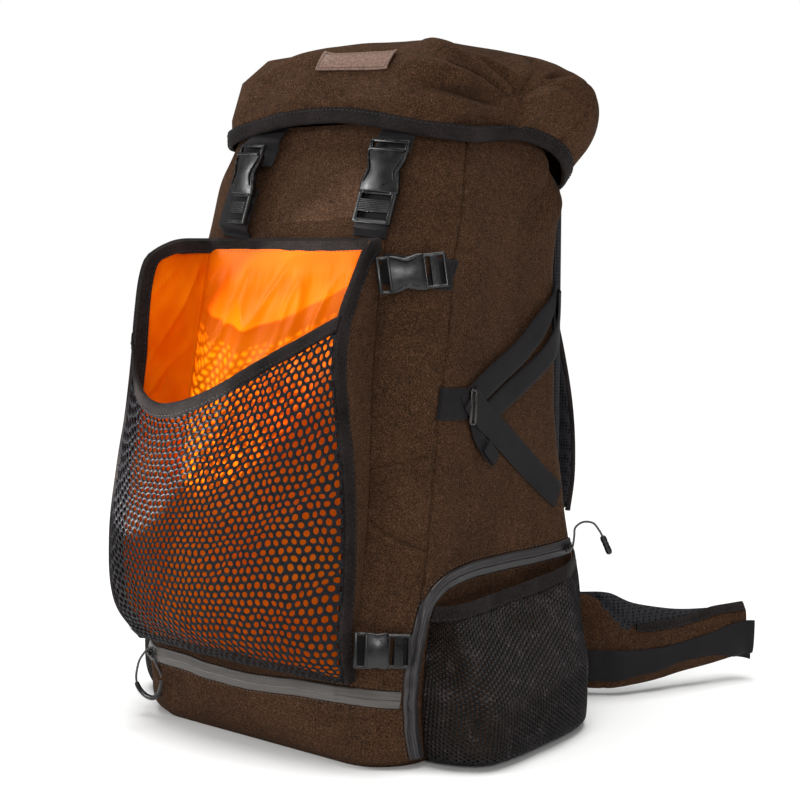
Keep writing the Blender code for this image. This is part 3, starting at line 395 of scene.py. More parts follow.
@lru_cache(maxsize=None)
def lid_dims(share):
    front_out, back_out = read_rows(LID_ROWS, share)
    drawn_in = 1 - ease(share, 0.0, 0.40)     # the rim is drawn in at its back corners
    return (LID_HALF + front_out, LID_FRONT - front_out, LID_BACK + back_out,
            max(LID_FRONT_RADIUS + front_out, LID_LEAST_RADIUS),
            max(LID_BACK_RADIUS + back_out, LID_LEAST_RADIUS) + 0.016 * drawn_in, back_out - 0.003 * drawn_in)


def same_stretch(start, end, t):
    """Distance round one outline that is as far along the same stretch as t is on another."""
    left, reached = abs(t), 0.0
    for own, other in zip(runs(start), runs(end)):
        if left <= own:
            break
        left -= own
        reached += other
    else:
        left, reached = own, reached - other
    return copysign(reached + other * left / own, t)


def lid_cut(t, share):
    """A point on the lid as cut: t metres round its rim, share of the way from rim to crown."""
    dims = lid_dims(round(share, 5))
    x, y = outline(dims, same_stretch(lid_dims(0.0), dims, t))
    x *= 1 + ((LID_BACK_HALF + dims[5]) / dims[0] - 1) * ease(y, -0.02, 0.10)
    low = read_rows(RIM_ROWS, abs(t))[0]
    return Vector((x, y, low + (LID_CROWN - LID_FALL * max(y, 0.0) - low) * share))


def lid_normal(t, share):
    low, high = max(share - 0.02, 0.0), min(share + 0.02, 0.999)
    along = lid_cut(t + 0.004, share) - lid_cut(t - 0.004, share)
    return along.cross(lid_cut(t, high) - lid_cut(t, low)).normalized()


LID_DEEP = 0.085          # metres that a share of 1 is worth when a fold is measured
LID_FOLDS = (  # (distance round the rim, share) line, height, width
    (((0.2000, 0.02), (0.2040, 0.20), (0.2060, 0.34), (0.2080, 0.50)), -0.0125, 0.0031),
    (((0.2080, 0.46), (0.2292, 0.6165), (0.2440, 0.7029), (0.2603, 0.8021)), -0.0116, 0.0035),
    (((0.2150, 0.40), (0.2300, 0.52), (0.2420, 0.62), (0.2560, 0.70)), 0.0104, 0.0063),
    (((0.2140, 0.16), (0.2200, 0.28), (0.2250, 0.38)), 0.0093, 0.0056),
    (((0.1960, 0.42), (0.1700, 0.52), (0.1300, 0.62), (0.0950, 0.70)), 0.0088, 0.0059),
    (((0.1970, 0.34), (0.1750, 0.40), (0.1450, 0.44), (0.1100, 0.50)), -0.0061, 0.0056),
    (((0.1960, 0.26), (0.1750, 0.30), (0.1500, 0.33), (0.1150, 0.36)), 0.0055, 0.0063),
    (((0.1940, 0.16), (0.1700, 0.18), (0.1400, 0.17)), -0.0061, 0.0063),
    (((0.2100, 0.60), (0.1900, 0.72), (0.1600, 0.82), (0.1200, 0.90)), 0.0078, 0.0070),
    (((-0.0100, 0.78), (-0.0700, 0.70), (-0.1150, 0.60), (-0.1450, 0.40)), 0.0093, 0.0091),
    (((-0.0900, 0.40), (-0.1250, 0.30), (-0.1500, 0.16)), -0.0058, 0.0076),
    (((-0.1300, 0.55), (-0.1550, 0.35), (-0.1650, 0.15)), 0.0070, 0.0070),
    (((0.0400, 0.25), (0.0800, 0.28), (0.1200, 0.24)), 0.0042, 0.0091))
LID_CREASES = (
    (((0.2050, 0.44), (0.1900, 0.52), (0.1700, 0.60), (0.1400, 0.68)), -0.0068, 0.0030),
    (((0.2060, 0.40), (0.1880, 0.44), (0.1600, 0.47)), -0.0055, 0.0028),
    (((0.2080, 0.52), (0.2000, 0.62), (0.1850, 0.74), (0.1650, 0.84)), -0.0072, 0.0032),
    (((0.2100, 0.50), (0.2250, 0.66), (0.2350, 0.80), (0.2400, 0.92)), -0.0074, 0.0032),
    (((0.2120, 0.44), (0.2300, 0.54), (0.2500, 0.60)), -0.0060, 0.0030),
    (((0.2030, 0.34), (0.1950, 0.20), (0.1930, 0.04)), -0.0066, 0.0028),
    (((0.0300, 0.58), (0.0900, 0.52), (0.1400, 0.56)), -0.0016, 0.0060))
LID_SEAM = ((0.2730, 0.7600), (0.2696, 0.7211), (0.2613, 0.5090), (0.2578, 0.3061), (0.2589, 0.0))


@lru_cache(maxsize=None)
def lid_relief(t, share):
    here = lid_cut(t, share) * 10
    relief = (0.0030 * noise.noise(here + Vector((5, 1, 0))) + 0.0012 * noise.noise(here * 2.7)) * ease(share, 0.0, 0.25)
    for path, height, width in LID_FOLDS + LID_CREASES:
        line = [(a, b * LID_DEEP) for a, b in path]
        relief += fold(t, share * LID_DEEP, line, height, width)
    # the cap hangs lower over the left front corner than over the right one
    relief -= 0.017 * ease(share, 0.10, 0.58) * ease(-t, 0.02, 0.11) * (1 - ease(-t, 0.17, 0.42))
    relief += seam(abs(t), share * LID_DEEP, [(a, b * LID_DEEP) for a, b in LID_SEAM], 0.0024, 0.0016)
    return relief * ease(share, -0.02, 0.12)


def lid(t, share, out=0.0):
    """A point on the worn lid, or out metres off it."""
    return lid_cut(t, share) + lid_normal(t, share) * (out + lid_relief(round(t, 5), round(share, 4)))


CROWN, OUTER, INNER, CEILING = range(4)
lid_stations = ([(CEILING, s) for s in (0.0, 0.6)] + [(INNER, s) for s in (0.985, 0.90, 0.66, 0.28, 0.0)]
                + [(OUTER, s) for s in spread(0.0, 0.90, 80)] + [(OUTER, s) for s in spread(0.905, 1.0, 24)]
                + [(CROWN, s) for s in (0.94, 0.85, 0.74, 0.6, 0.4, 0.2, 0.0)])
lid_round = sum(runs(lid_dims(0.0)))


def lid_place(u, v):
    kind, value = lid_stations[round(v * (len(lid_stations) - 1))]
    t = (2 * u - 1) * lid_round
    if kind == OUTER:
        return lid(t, value)
    if kind == INNER:
        return lid_cut(t, value) - lid_normal(t, value) * LID_CLOTH
    top = lid(t, 1.0) if kind == CROWN else lid_cut(t, 0.985) - lid_normal(t, 0.985) * LID_CLOTH
    middle = Vector((0.0, 0.0120, top.z))
    here = middle.lerp(top, value)
    here.z = (LID_CROWN if kind == CROWN else LID_CROWN - 0.006) - LID_FALL * max(here.y, 0.0) * value
    if kind == CROWN:
        here.z += (top.z - (LID_CROWN - LID_FALL * max(top.y, 0.0))) * value ** 2
    return here


lid_mesh = bmesh.new()
spread_skin(lid_mesh, 460, len(lid_stations) - 1, lid_place)
dress(finish("lid_cloth", lid_mesh), loden, "loden_wool", "lid")


# Pouch. An open load pouch on the front: side walls and back of the same loden, which stand off
# the bag and widen towards its foot.
# height, x of back left, x and y of front left, x and y of front right, x of back right, belly
POUCH_ROWS = (
    (0.072, -0.112, -0.124, -0.184, 0.115, -0.183, 0.113, 0.012), (0.105, -0.113, -0.142, -0.198, 0.114, -0.189, 0.112, 0.022),
    (0.165, -0.114, -0.150, -0.196, 0.111, -0.180, 0.108, 0.030), (0.230, -0.113, -0.147, -0.188, 0.107, -0.176, 0.104, 0.026),
    (0.270, -0.112, -0.143, -0.182, 0.104, -0.177, 0.101, 0.020), (0.320, -0.110, -0.140, -0.176, 0.101, -0.179, 0.098, 0.012),
    (0.360, -0.108, -0.137, -0.174, 0.099, -0.171, 0.097, 0.006), (0.400, -0.106, -0.133, -0.169, 0.098, -0.148, 0.096, 0.002),
    (0.415, -0.106, -0.129, -0.161, 0.097, -0.138, 0.096, 0.000), (0.427, -0.105, -0.117, -0.141, 0.096, -0.128, 0.095, 0.000))
POUCH_FOOT, POUCH_TOP, POUCH_STAND, WALL_CLOTH, TAPE_WIDTH = 0.0740, 0.4265, 0.0027, 0.0020, 0.0125


@lru_cache(maxsize=None)
def wall(z, side):
    """Front corner of a side wall, its way back to the bag, its outward normal and its depth."""
    row = read_rows(POUCH_ROWS, z)
    front = Vector((row[3], row[4], z)) if side > 0 else Vector((row[1], row[2], z))
    way = bag(row[5] if side > 0 else row[0], z, POUCH_STAND) - front
    way.z = 0.0
    return front, way.normalized(), Vector((way.y, -way.x, 0)).normalized() * side, way.length


def pouch_corner(z, side, out):
    """Where a side wall meets the back, out metres outwards from both."""
    row = read_rows(POUCH_ROWS, z)
    beside, behind = wall(z, side)[2], Vector((0, 1, 0))
    here = bag(row[5] if side > 0 else row[0], z, POUCH_STAND)
    return here + (beside + behind) / (1 + beside.dot(behind)) * out


def pouch_sheet(column, z, out):
    """A point on the pouch's cloth: column -1 to 0 is its right wall, 0 to 1 back, 1 to 2 left wall."""
    row = read_rows(POUCH_ROWS, z)
    if 0 <= column <= 1:
        here = bag(row[5] + (row[0] - row[5]) * column, z, POUCH_STAND - out)
        for side, share in ((1, column), (-1, 1 - column)):
            edge = bag(row[5] if side > 0 else row[0], z, POUCH_STAND - out)
            here += (pouch_corner(z, side, out) - edge) * (1 - ease(share, 0.0, 0.10))
        return here
    side, share = (1, -column) if column < 0 else (-1, column - 1)
    front, way, normal, depth = wall(z, side)
    here = front + way * depth * (1 - share) + normal * out
    return here + (pouch_corner(z, side, out) - front - way * depth - normal * out) * (1 - ease(share, 0.0, 0.3))


def pouch_wall_place(u, v):
    """The shell's section folds over its front edge: outer face, edge, inner face."""
    column = -1 + 3 * u
    z = POUCH_FOOT + (POUCH_TOP - POUCH_FOOT - 0.002) * v
    out = 0.0
    if column < 0 or column > 1:
        share = -column if column < 0 else column - 1
        slack = noise.noise(Vector((share * 2, z * 16, 2.0 if column < 0 else 7.0)))
        out = 0.0018 * slack * sin(pi * share) * ease(z, 0.075, 0.12)
    return pouch_sheet(column, z, out)


def add_solidify(piece, thickness, offset=-1.0):
    """Cloth thickness, behind the face that points outwards."""
    modifier = piece.modifiers.new("thickness", "SOLIDIFY")
    modifier.thickness, modifier.offset = thickness, offset
    return piece


walls_mesh = bmesh.new()
spread_skin(walls_mesh, 120, 64, pouch_wall_place)
walls = add_solidify(finish("pouch_walls", walls_mesh, closed=False), WALL_CLOTH)
dress(walls, loden, "loden_wool", "pouch_shell")


# Pouch lining. Thin orange signal satin, shiny, a little too large for the wool behind it, so it
# lies in soft upright folds that hang from the tape along the top.
def satin_relief(column, z):
    """Folds of the satin: broad ones that hang aslant from the top, and small gathers under the tape."""
    across = column * 0.057 if column < 0 else min(column, 1) * 0.205 + max(column - 1, 0) * 0.057
    sway = 0.012 * noise.noise(Vector((z * 9, column * 1.5, 4.0))) + 0.30 * (z - 0.35)
    hang = ease(z, 0.20, 0.42)
    relief = 0.0030 * noise.noise(Vector(((across + sway) * 27, z * 7.0, 1.0))) * (0.55 + 0.65 * hang)
    relief += 0.0015 * noise.noise(Vector(((across + sway) * 58, z * 11.0, 9.0))) * (0.3 + 0.9 * hang)
    relief += 0.0018 * noise.noise(Vector((across * 20, z * 24, 6.0)))
    crest = 1 - abs(noise.noise(Vector(((across + sway * 1.6) * 30, z * 8.5, 3.0))))
    relief += 0.0030 * crest ** 9 * (0.3 + 0.7 * hang)
    gathers = 0.0009 * noise.noise(Vector((across * 190, z * 25, 2.0))) * exp(-((POUCH_TOP - 0.030 - z) / 0.012) ** 2)
    return max(relief + gathers, -0.0035)


def satin_place(u, v):
    column = -0.93 + 2.86 * u
    z = POUCH_FOOT + 0.004 + (POUCH_TOP - POUCH_FOOT - 0.0075) * v
    free = 1.0
    if column < 0 or column > 1:
        share = -column if column < 0 else column - 1
        free = min(ease(share, 0.0, 0.15), 1 - ease(share, 0.80, 1.0)) * 0.75
    else:
        free = ease(column, 0.0, 0.04) * ease(1 - column, 0.0, 0.04)
    hem = 1 - ease(z, POUCH_TOP - 0.042, POUCH_TOP - 0.0120)
    lift = (0.0018 + satin_relief(column, z)) * (0.15 + 0.85 * free) * hem
    return pouch_sheet(column, z, -WALL_CLOTH - 0.0008 - max(lift, 0.0))


satin, satin_tree, satin_shader = new_material("orange_satin_weave", "#E26206", Roughness=0.33, Anisotropic=0.4)
satin_shader.inputs["Specular Tint"].default_value = colour("#FFA428")
satin_shader.inputs["Specular IOR Level"].default_value = 0.11
# satin's floats run one way and give a soft grain; 0.9 mm is as fine as the picture shows
satin_uv = add(satin_tree, "ShaderNodeUVMap")
satin_run = add(satin_tree, "ShaderNodeMapping", {"Vector": satin_uv.outputs["UV"], "Scale": (1100.0, 160.0, 1.0)})
satin_grain = add(satin_tree, "ShaderNodeTexNoise", {"Vector": satin_run.outputs["Vector"], "Scale": 1.0, "Detail": 2.0})
satin_bump = add(satin_tree, "ShaderNodeBump", {"Height": satin_grain.outputs["Fac"], "Strength": 0.25, "Distance": 0.0003})
satin_tree.links.new(satin_bump.outputs["Normal"], satin_shader.inputs["Normal"])
satin_depth = add(satin_tree, "ShaderNodeTexNoise", {"Vector": satin_uv.outputs["UV"], "Scale": 18.0, "Detail": 2.0})
satin_shade = add(satin_tree, "ShaderNodeValToRGB", {"Fac": satin_depth.outputs["Fac"]})
satin_shade.color_ramp.elements[0].position, satin_shade.color_ramp.elements[0].color = 0.3, colour("#D84E02")
satin_shade.color_ramp.elements[1].position, satin_shade.color_ramp.elements[1].color = 0.7, colour("#EC7004")
satin_tree.links.new(satin_shade.outputs["Color"], satin_shader.inputs["Base Color"])

lining_mesh = bmesh.new()
spread_skin(lining_mesh, 230, 108, satin_place)
lining = add_solidify(finish("pouch_satin", lining_mesh, closed=False), 0.0004, 1.0)
dress(lining, satin, "orange_satin", "pouch_lining")


# Pouch net. Knotless polyester netting with round meshes about 7 mm apart, sewn into the tape all
# round; it bellies out in front and curls under to the pouch's foot.
NET_MARGIN, NET_WALL_STAND, NET_CURL, NET_CURL_HEIGHT = 0.0014, 0.0074, 0.14, 0.014
# share of the net's width from the left, height of the net's upper edge
MOUTH_ROWS = ((0.00, 0.345), (0.05, 0.310), (0.12, 0.293), (0.22, 0.286), (0.34, 0.290),
              (0.50, 0.304), (0.70, 0.329), (0.86, 0.348), (1.00, 0.366))


def net_front(share, z):
    row = read_rows(POUCH_ROWS, z)
    x = row[1] + NET_MARGIN + (row[3] - row[1] - 2 * NET_MARGIN) * share
    return Vector((x, row[2] + (row[4] - row[2]) * share - row[6] * sin(pi * min(max(share, 0), 1)) ** 0.8, z))


@lru_cache(maxsize=None)
def net_place(share, up):
    """A point on the net: share across it, up from the pouch's back at its foot to the mouth."""
    foot = POUCH_FOOT + NET_CURL_HEIGHT
    if up >= NET_CURL:
        mouth = read_rows(MOUTH_ROWS, share)[0]
        return net_front(share, foot + (mouth - foot) * (up - NET_CURL) / (1 - NET_CURL))
    front, row = net_front(share, foot), read_rows(POUCH_ROWS, foot)
    left, right = row[0] + NET_MARGIN, row[5] - NET_MARGIN
    back = Vector((left + (right - left) * share, bag(0.0, POUCH_FOOT).y - NET_WALL_STAND, foot))
    angle = (1 - up / NET_CURL) * pi / 2
    here = back + (front - back) * cos(angle)
    here.z -= NET_CURL_HEIGHT * sin(angle)
    return here


def net(share, up, out=0.0):
    share, up = min(max(share, 0.0), 1.0), min(max(up, 0.0), 1.0)
    here = net_place(round(share, 5), round(up, 5))
    step = 0.01
    across = net_place(round(min(share + step, 1), 5), round(up, 5)) - net_place(round(max(share - step, 0), 5), round(up, 5))
    upward = net_place(round(share, 5), round(min(up + step, 1), 5)) - net_place(round(share, 5), round(max(up - step, 0), 5))
    slack = 0.0022 * noise.noise(here * 14 + Vector((3, 0, 0))) * sin(pi * share) * sin(pi * up)
    return here + across.cross(upward).normalized() * (out + slack)


def hex_net(wide, tall, pitch, strand, thick, keep=None):
    """Netting laid flat: six-sided meshes with strands between them that are thickest midway."""
    mesh = bmesh.new()
    step = pitch * sqrt(3) / 2
    for j in range(int(tall / step) + 2):
        for i in range(int(wide / pitch) + 2):
            x, y = pitch * (i + 0.5 * (j % 2)), step * j
            if keep is None or keep(x, y):
                bmesh.ops.create_circle(mesh, cap_ends=True, segments=6, radius=pitch / sqrt(3),
                                        matrix=Matrix.Translation((x, y, 0.0)))
    bmesh.ops.remove_doubles(mesh, verts=mesh.verts[:], dist=pitch * 0.05)
    cells = mesh.faces[:]
    bmesh.ops.inset_individual(mesh, faces=cells, thickness=strand / 2)
    rims = {v for face in cells for v in face.verts}
    bmesh.ops.delete(mesh, geom=cells, context="FACES_ONLY")
    outer = {v for e in mesh.edges if e.is_boundary for v in e.verts}
    for vert in mesh.verts:
        if vert not in outer and vert not in rims:
            vert.co.z = thick / 2
    upper = mesh.faces[:]
    copied = bmesh.ops.duplicate(mesh, geom=mesh.verts[:] + mesh.edges[:] + upper)["geom"]
    under = [f for f in copied if isinstance(f, bmesh.types.BMFace)]
    for vert in [v for v in copied if isinstance(v, bmesh.types.BMVert)]:
        vert.co.z *= -1
    bmesh.ops.reverse_faces(mesh, faces=under)
    bmesh.ops.remove_doubles(mesh, verts=mesh.verts[:], dist=pitch * 0.01)
    return mesh


NET_WIDE, NET_TALL = 0.285, 0.300       # the net's cloth across and up, folds let out
net_mesh = hex_net(NET_WIDE, NET_TALL, 0.0077, 0.0044, 0.0020)
for vert in net_mesh.verts:
    x, y, out = vert.co
    pull = noise.noise_vector(Vector((x * 22, y * 22, 1.0))) * 0.0040 + noise.noise_vector(Vector((x * 90, y * 90, 5.0))) * 0.0021
    share, up = (x + pull.x) / NET_WIDE, (y + pull.y) / NET_TALL
    vert.co = net(share, up * 0.985, out + pull.z * 0.3)
netting = finish("pouch_netting", net_mesh, closed=False)
soften = netting.modifiers.new("round strands", "SUBSURF")
soften.levels = soften.render_levels = 1

black_net, net_tree, net_shader = new_material("black_polyester_net", "#101012", Roughness=0.5)
net_shader.inputs["Specular IOR Level"].default_value = 0.15
# knitted filaments as fine streaks about 1 mm apart; their lighter streaks are painted glints
net_streaks = add(net_tree, "ShaderNodeTexNoise", {"Vector": add(net_tree, "ShaderNodeTexCoord").outputs["Object"],
                                                "Scale": 900.0, "Detail": 2.0})
net_painted_glints = add(net_tree, "ShaderNodeValToRGB", {"Fac": net_streaks.outputs["Fac"]})
net_painted_glints.color_ramp.elements[0].position, net_painted_glints.color_ramp.elements[0].color = 0.45, colour("#040405")
net_painted_glints.color_ramp.elements[1].position, net_painted_glints.color_ramp.elements[1].color = 0.80, colour("#2B2930")
net_tree.links.new(net_painted_glints.outputs["Color"], net_shader.inputs["Base Color"])
net_bump = add(net_tree, "ShaderNodeBump", {"Height": net_streaks.outputs["Fac"], "Strength": 0.5, "Distance": 0.0005})
net_tree.links.new(net_bump.outputs["Normal"], net_shader.inputs["Normal"])
dress(netting, black_net, "black_mesh", "pouch_net")


# Tape. Black grosgrain folded over every raw edge and stitched down through both layers: round
# the lid, along the pouch's walls and top, and on the upper edge of the net.
def tape_material(name, hex_colour, pitch):
    """Woven nylon or polyester tape: fine ribs across it, a matt black that greys where it is worn."""
    made, tree, shader = new_material(name, hex_colour, Roughness=0.75, Sheen_Weight=0.02, Sheen_Roughness=0.4)
    shader.inputs["Specular IOR Level"].default_value = 0.12
    uv = add(tree, "ShaderNodeUVMap").outputs["UV"]
    ribs = add(tree, "ShaderNodeTexWave", {"Vector": uv, "Scale": 1 / pitch / (2 * pi) * 2, "Distortion": 0.35,
                                           "Detail": 1.0, "Detail Scale": 3.0}, bands_direction="X")
    thread = add(tree, "ShaderNodeTexNoise", {"Vector": uv, "Scale": 520.0, "Detail": 3.0})
    wear = add(tree, "ShaderNodeTexNoise", {"Vector": uv, "Scale": 30.0, "Detail": 3.0})
    mix = add(tree, "ShaderNodeMath", {0: thread.outputs["Fac"], 1: wear.outputs["Fac"]}, operation="ADD")
    tone = add(tree, "ShaderNodeMapRange", {"Value": mix.outputs[0], "From Min": 0.7, "From Max": 1.35,
                                            "To Min": 0.15, "To Max": 2.2})
    scaled = add(tree, "ShaderNodeVectorMath", {0: colour(hex_colour)[:3], "Scale": tone.outputs["Result"]},
                 operation="SCALE")
    tree.links.new(scaled.outputs["Vector"], shader.inputs["Base Color"])
    height = add(tree, "ShaderNodeMath", {0: ribs.outputs["Fac"], 1: thread.outputs["Fac"]}, operation="ADD")
    bump = add(tree, "ShaderNodeBump", {"Height": height.outputs[0], "Strength": 0.6, "Distance": 0.0004})
    tree.links.new(bump.outputs["Normal"], shader.inputs["Normal"])
    return made


grosgrain = tape_material("black_grosgrain_tape", "#1D1817", 0.0013)


def folded_tape(name, frames, width, inner, outer, ring=False):
    """Tape folded over an edge, along frames of (edge point, way in from the edge, outward normal)."""
    section = [(width, outer), (width * 0.75, outer * 1.10), (width * 0.45, outer * 1.20), (width * 0.15, outer * 1.10),
               (0.0, outer * 0.5), (-0.0006, (outer + inner) / 2), (0.0, inner * 0.5), (width * 0.15, inner * 1.05),
               (width * 0.5, inner * 1.10), (width, inner), (width + 0.0002, (outer + inner) / 2)]
    lengths = [0.0]
    for (a, _, _), (b, _, _) in zip(frames, frames[1:]):
        lengths.append(lengths[-1] + (b - a).length)
    last = len(frames) - 1

    def place(u, v):
        edge, way, normal = frames[round(u * last)]
        w, n = section[round(v * len(section)) % len(section)]
        wrinkle = noise.noise(edge * 55) * 0.0005 * (1 if n > (outer + inner) / 2 else -1)
        return edge + way * (w + noise.noise(edge * 38) * 0.0009 * w / width) + normal * (n + wrinkle)

    mesh = bmesh.new()
    spread_skin(mesh, last, len(section), place,
                lambda u, v: (lengths[round(u * last)], section[round(v * len(section)) % len(section)][0]))
    bmesh.ops.remove_doubles(mesh, verts=mesh.verts[:], dist=1e-6)
    if not ring:
        bmesh.ops.holes_fill(mesh, edges=[e for e in mesh.edges if e.is_boundary], sides=0)
    return finish(name, mesh)


def even_frames(frames, spacing, ring=False):
    """The same frames, evenly spaced and smoothed where they turn a corner."""
    if ring:
        frames = frames + frames[:1]
    lengths = [0.0]
    for (a, _, _), (b, _, _) in zip(frames, frames[1:]):
        lengths.append(lengths[-1] + (b - a).length)
    count = max(int(lengths[-1] / spacing), 4)
    made, k = [], 0
    for i in range(count + 1):
        want = lengths[-1] * i / count
        while k < len(lengths) - 2 and lengths[k + 1] < want:
            k += 1
        share = (want - lengths[k]) / max(lengths[k + 1] - lengths[k], 1e-9)
        a, b = frames[k], frames[k + 1]
        made.append((a[0].lerp(b[0], share), a[1].lerp(b[1], share).normalized(), a[2].lerp(b[2], share).normalized()))
    return made


def soften_frames(frames, reach):
    """Average each frame with its neighbours, so that the tape turns corners in a small curve."""
    made = []
    for i in range(len(frames)):
        near = frames[max(i - reach, 0):i + reach + 1] if reach <= i < len(frames) - reach else [frames[i]]
        made.append(tuple(sum((f[k] for f in near), Vector()) / len(near) for k in range(3)))
    return [(e, w.normalized(), n.normalized()) for e, w, n in made]


def stitch_row(name, frames, inset, height, length=0.0030, gap=0.0016, thread=0.00034, material=None):
    """A row of lockstitches sunk into the tape, each a short drawn-in thread."""
    mesh = bmesh.new()
    run, want = 0.0, 0.0
    for (a, wa, na), (b, _, _) in zip(frames, frames[1:]):
        step = (b - a).length
        while run + step >= want:
            share = (want - run) / max(step, 1e-9)
            along = (b - a).normalized()
            middle = a.lerp(b, share) + wa * inset + na * height
            turn = Matrix((along, na.cross(along).normalized(), na)).transposed().to_4x4()
            size = Matrix.Diagonal((length / 2, thread * 1.3, thread, 1.0))
            bmesh.ops.create_uvsphere(mesh, u_segments=6, v_segments=4, radius=1.0,
                                      matrix=Matrix.Translation(middle) @ turn @ size)
            want += length + gap
        run += step
    piece = finish(name, mesh, closed=False)
    piece.data.materials.append(material or thread_black)
    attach(piece, "root")
    return piece


thread_black, thread_tree, thread_shader = new_material("polyester_thread", "#171517", Roughness=0.7)
thread_noise = add(thread_tree, "ShaderNodeTexNoise", {"Vector": add(thread_tree, "ShaderNodeTexCoord").outputs["Object"],
                                                       "Scale": 1500.0})
thread_bump = add(thread_tree, "ShaderNodeBump", {"Height": thread_noise.outputs["Fac"], "Strength": 0.4, "Distance": 0.0003})
thread_tree.links.new(thread_bump.outputs["Normal"], thread_shader.inputs["Normal"])

lid_edge = []
for i in range(420):
    t = (2 * i / 420 - 1) * lid_round
    edge, upper = lid_cut(t, 0.0), lid_cut(t, 0.10)
    lid_edge.append((edge, (upper - edge).normalized(), lid_normal(t, 0.02)))
lid_edge = even_frames(lid_edge, 0.0025, ring=True)
dress(folded_tape("lid_tape", lid_edge, TAPE_WIDTH, -0.0034, 0.0017, ring=True), grosgrain, "black_tape", "lid_binding")
stitch_row("lid_tape_stitches", lid_edge, TAPE_WIDTH - 0.0018, 0.0020)

wall_edge = []
down = Vector((0, 0.05, -1)).normalized()
for z in spread(POUCH_FOOT, 0.4240, 120):
    front, way, normal, _ = wall(z, 1)
    wall_edge.append((front, (way + down * ease(z, 0.405, 0.424)).normalized(), normal))
for column in spread(-0.90, -0.10, 12):
    wall_edge.append((pouch_sheet(column, POUCH_TOP, 0.0), down, wall(POUCH_TOP, 1)[2]))
for column in spread(0.03, 0.97, 70):
    wall_edge.append((pouch_sheet(column, POUCH_TOP, 0.0), down, Vector((0, 1, 0))))
for column in spread(1.10, 1.90, 12):
    wall_edge.append((pouch_sheet(column, POUCH_TOP, 0.0), down, wall(POUCH_TOP, -1)[2]))
for z in spread(0.4240, POUCH_FOOT, 120):
    front, way, normal, _ = wall(z, -1)
    wall_edge.append((front, (way + down * ease(z, 0.405, 0.424)).normalized(), normal))
wall_edge = soften_frames(even_frames(wall_edge, 0.0025), 3)
dress(folded_tape("pouch_edge_tape", wall_edge, TAPE_WIDTH, -0.0058, 0.0014), grosgrain, "black_tape", "pouch_frame_binding")
stitch_row("pouch_edge_stitches", wall_edge, TAPE_WIDTH - 0.0018, -0.0062)
stitch_row("pouch_edge_stitches_outside", wall_edge, TAPE_WIDTH - 0.0018, 0.0015)

mouth_edge = []
for share in spread(0.0, 1.0, 160):
    edge, below = net(share, 1.0), net(share, 0.96)
    mouth_edge.append((edge, (below - edge).normalized(), net(share, 0.99, 0.001) - net(share, 0.99, 0.0)))
mouth_edge = [(e, w, n.normalized()) for e, w, n in mouth_edge]
mouth_edge = even_frames(mouth_edge, 0.0025)
dress(folded_tape("net_mouth_tape", mouth_edge, TAPE_WIDTH, -0.0012, 0.0018), grosgrain, "black_tape",
      "pouch_mouth_binding")
stitch_row("net_mouth_stitches", mouth_edge, TAPE_WIDTH - 0.0022, 0.0021)


# Patch. A blank piece of brown leather on the lid's front, its border pressed in and sewn down.
PATCH_FROM, PATCH_TO, PATCH_LOW, PATCH_HIGH = -0.0040, 0.0740, 0.600, 0.800
PATCH_WIDE, PATCH_TALL, PATCH_THICK = 0.078, 0.0205, 0.0018


def patch_place(u, v):
    """The leather swells a little between a rounded edge and a pressed line beside it."""
    x, y = (u - 0.5) * PATCH_WIDE, (v - 0.5) * PATCH_TALL
    gap = min(PATCH_WIDE / 2 - abs(x), PATCH_TALL / 2 - abs(y))
    out = 0.0012 + PATCH_THICK * ease(gap, -0.0004, 0.0008) - 0.0010 * exp(-((gap - 0.0024) / 0.0005) ** 2)
    out += 0.00025 * noise.noise(Vector((x * 120, y * 160, 1.0)))
    curl = 0.0012 * (2 * u - 1) ** 6
    return lid(PATCH_FROM + (PATCH_TO - PATCH_FROM) * u, PATCH_LOW + (PATCH_HIGH - PATCH_LOW) * v, out + curl)


leather, leather_tree, leather_shader = new_material("brown_leather_embossed", "#6E5548", Roughness=0.52)
leather_uv = add(leather_tree, "ShaderNodeUVMap").outputs["UV"]
# pores drawn at 0.8 mm, coarser than the hide's own
pores = add(leather_tree, "ShaderNodeTexVoronoi", {"Vector": leather_uv, "Scale": 1250.0})
cloudy = add(leather_tree, "ShaderNodeTexNoise", {"Vector": leather_uv, "Scale": 420.0, "Detail": 4.0})
leather_tone = add(leather_tree, "ShaderNodeValToRGB", {"Fac": cloudy.outputs["Fac"]})
leather_tone.color_ramp.elements[0].position, leather_tone.color_ramp.elements[0].color = 0.30, colour("#5A4238")
leather_tone.color_ramp.elements[1].position, leather_tone.color_ramp.elements[1].color = 0.72, colour("#8A6C5C")
leather_tree.links.new(leather_tone.outputs["Color"], leather_shader.inputs["Base Color"])
leather_height = add(leather_tree, "ShaderNodeMath", {0: pores.outputs["Distance"], 1: cloudy.outputs["Fac"]},
                     operation="ADD")
leather_bump = add(leather_tree, "ShaderNodeBump", {"Height": leather_height.outputs[0], "Strength": 0.4,
                                                    "Distance": 0.0004})
leather_tree.links.new(leather_bump.outputs["Normal"], leather_shader.inputs["Normal"])

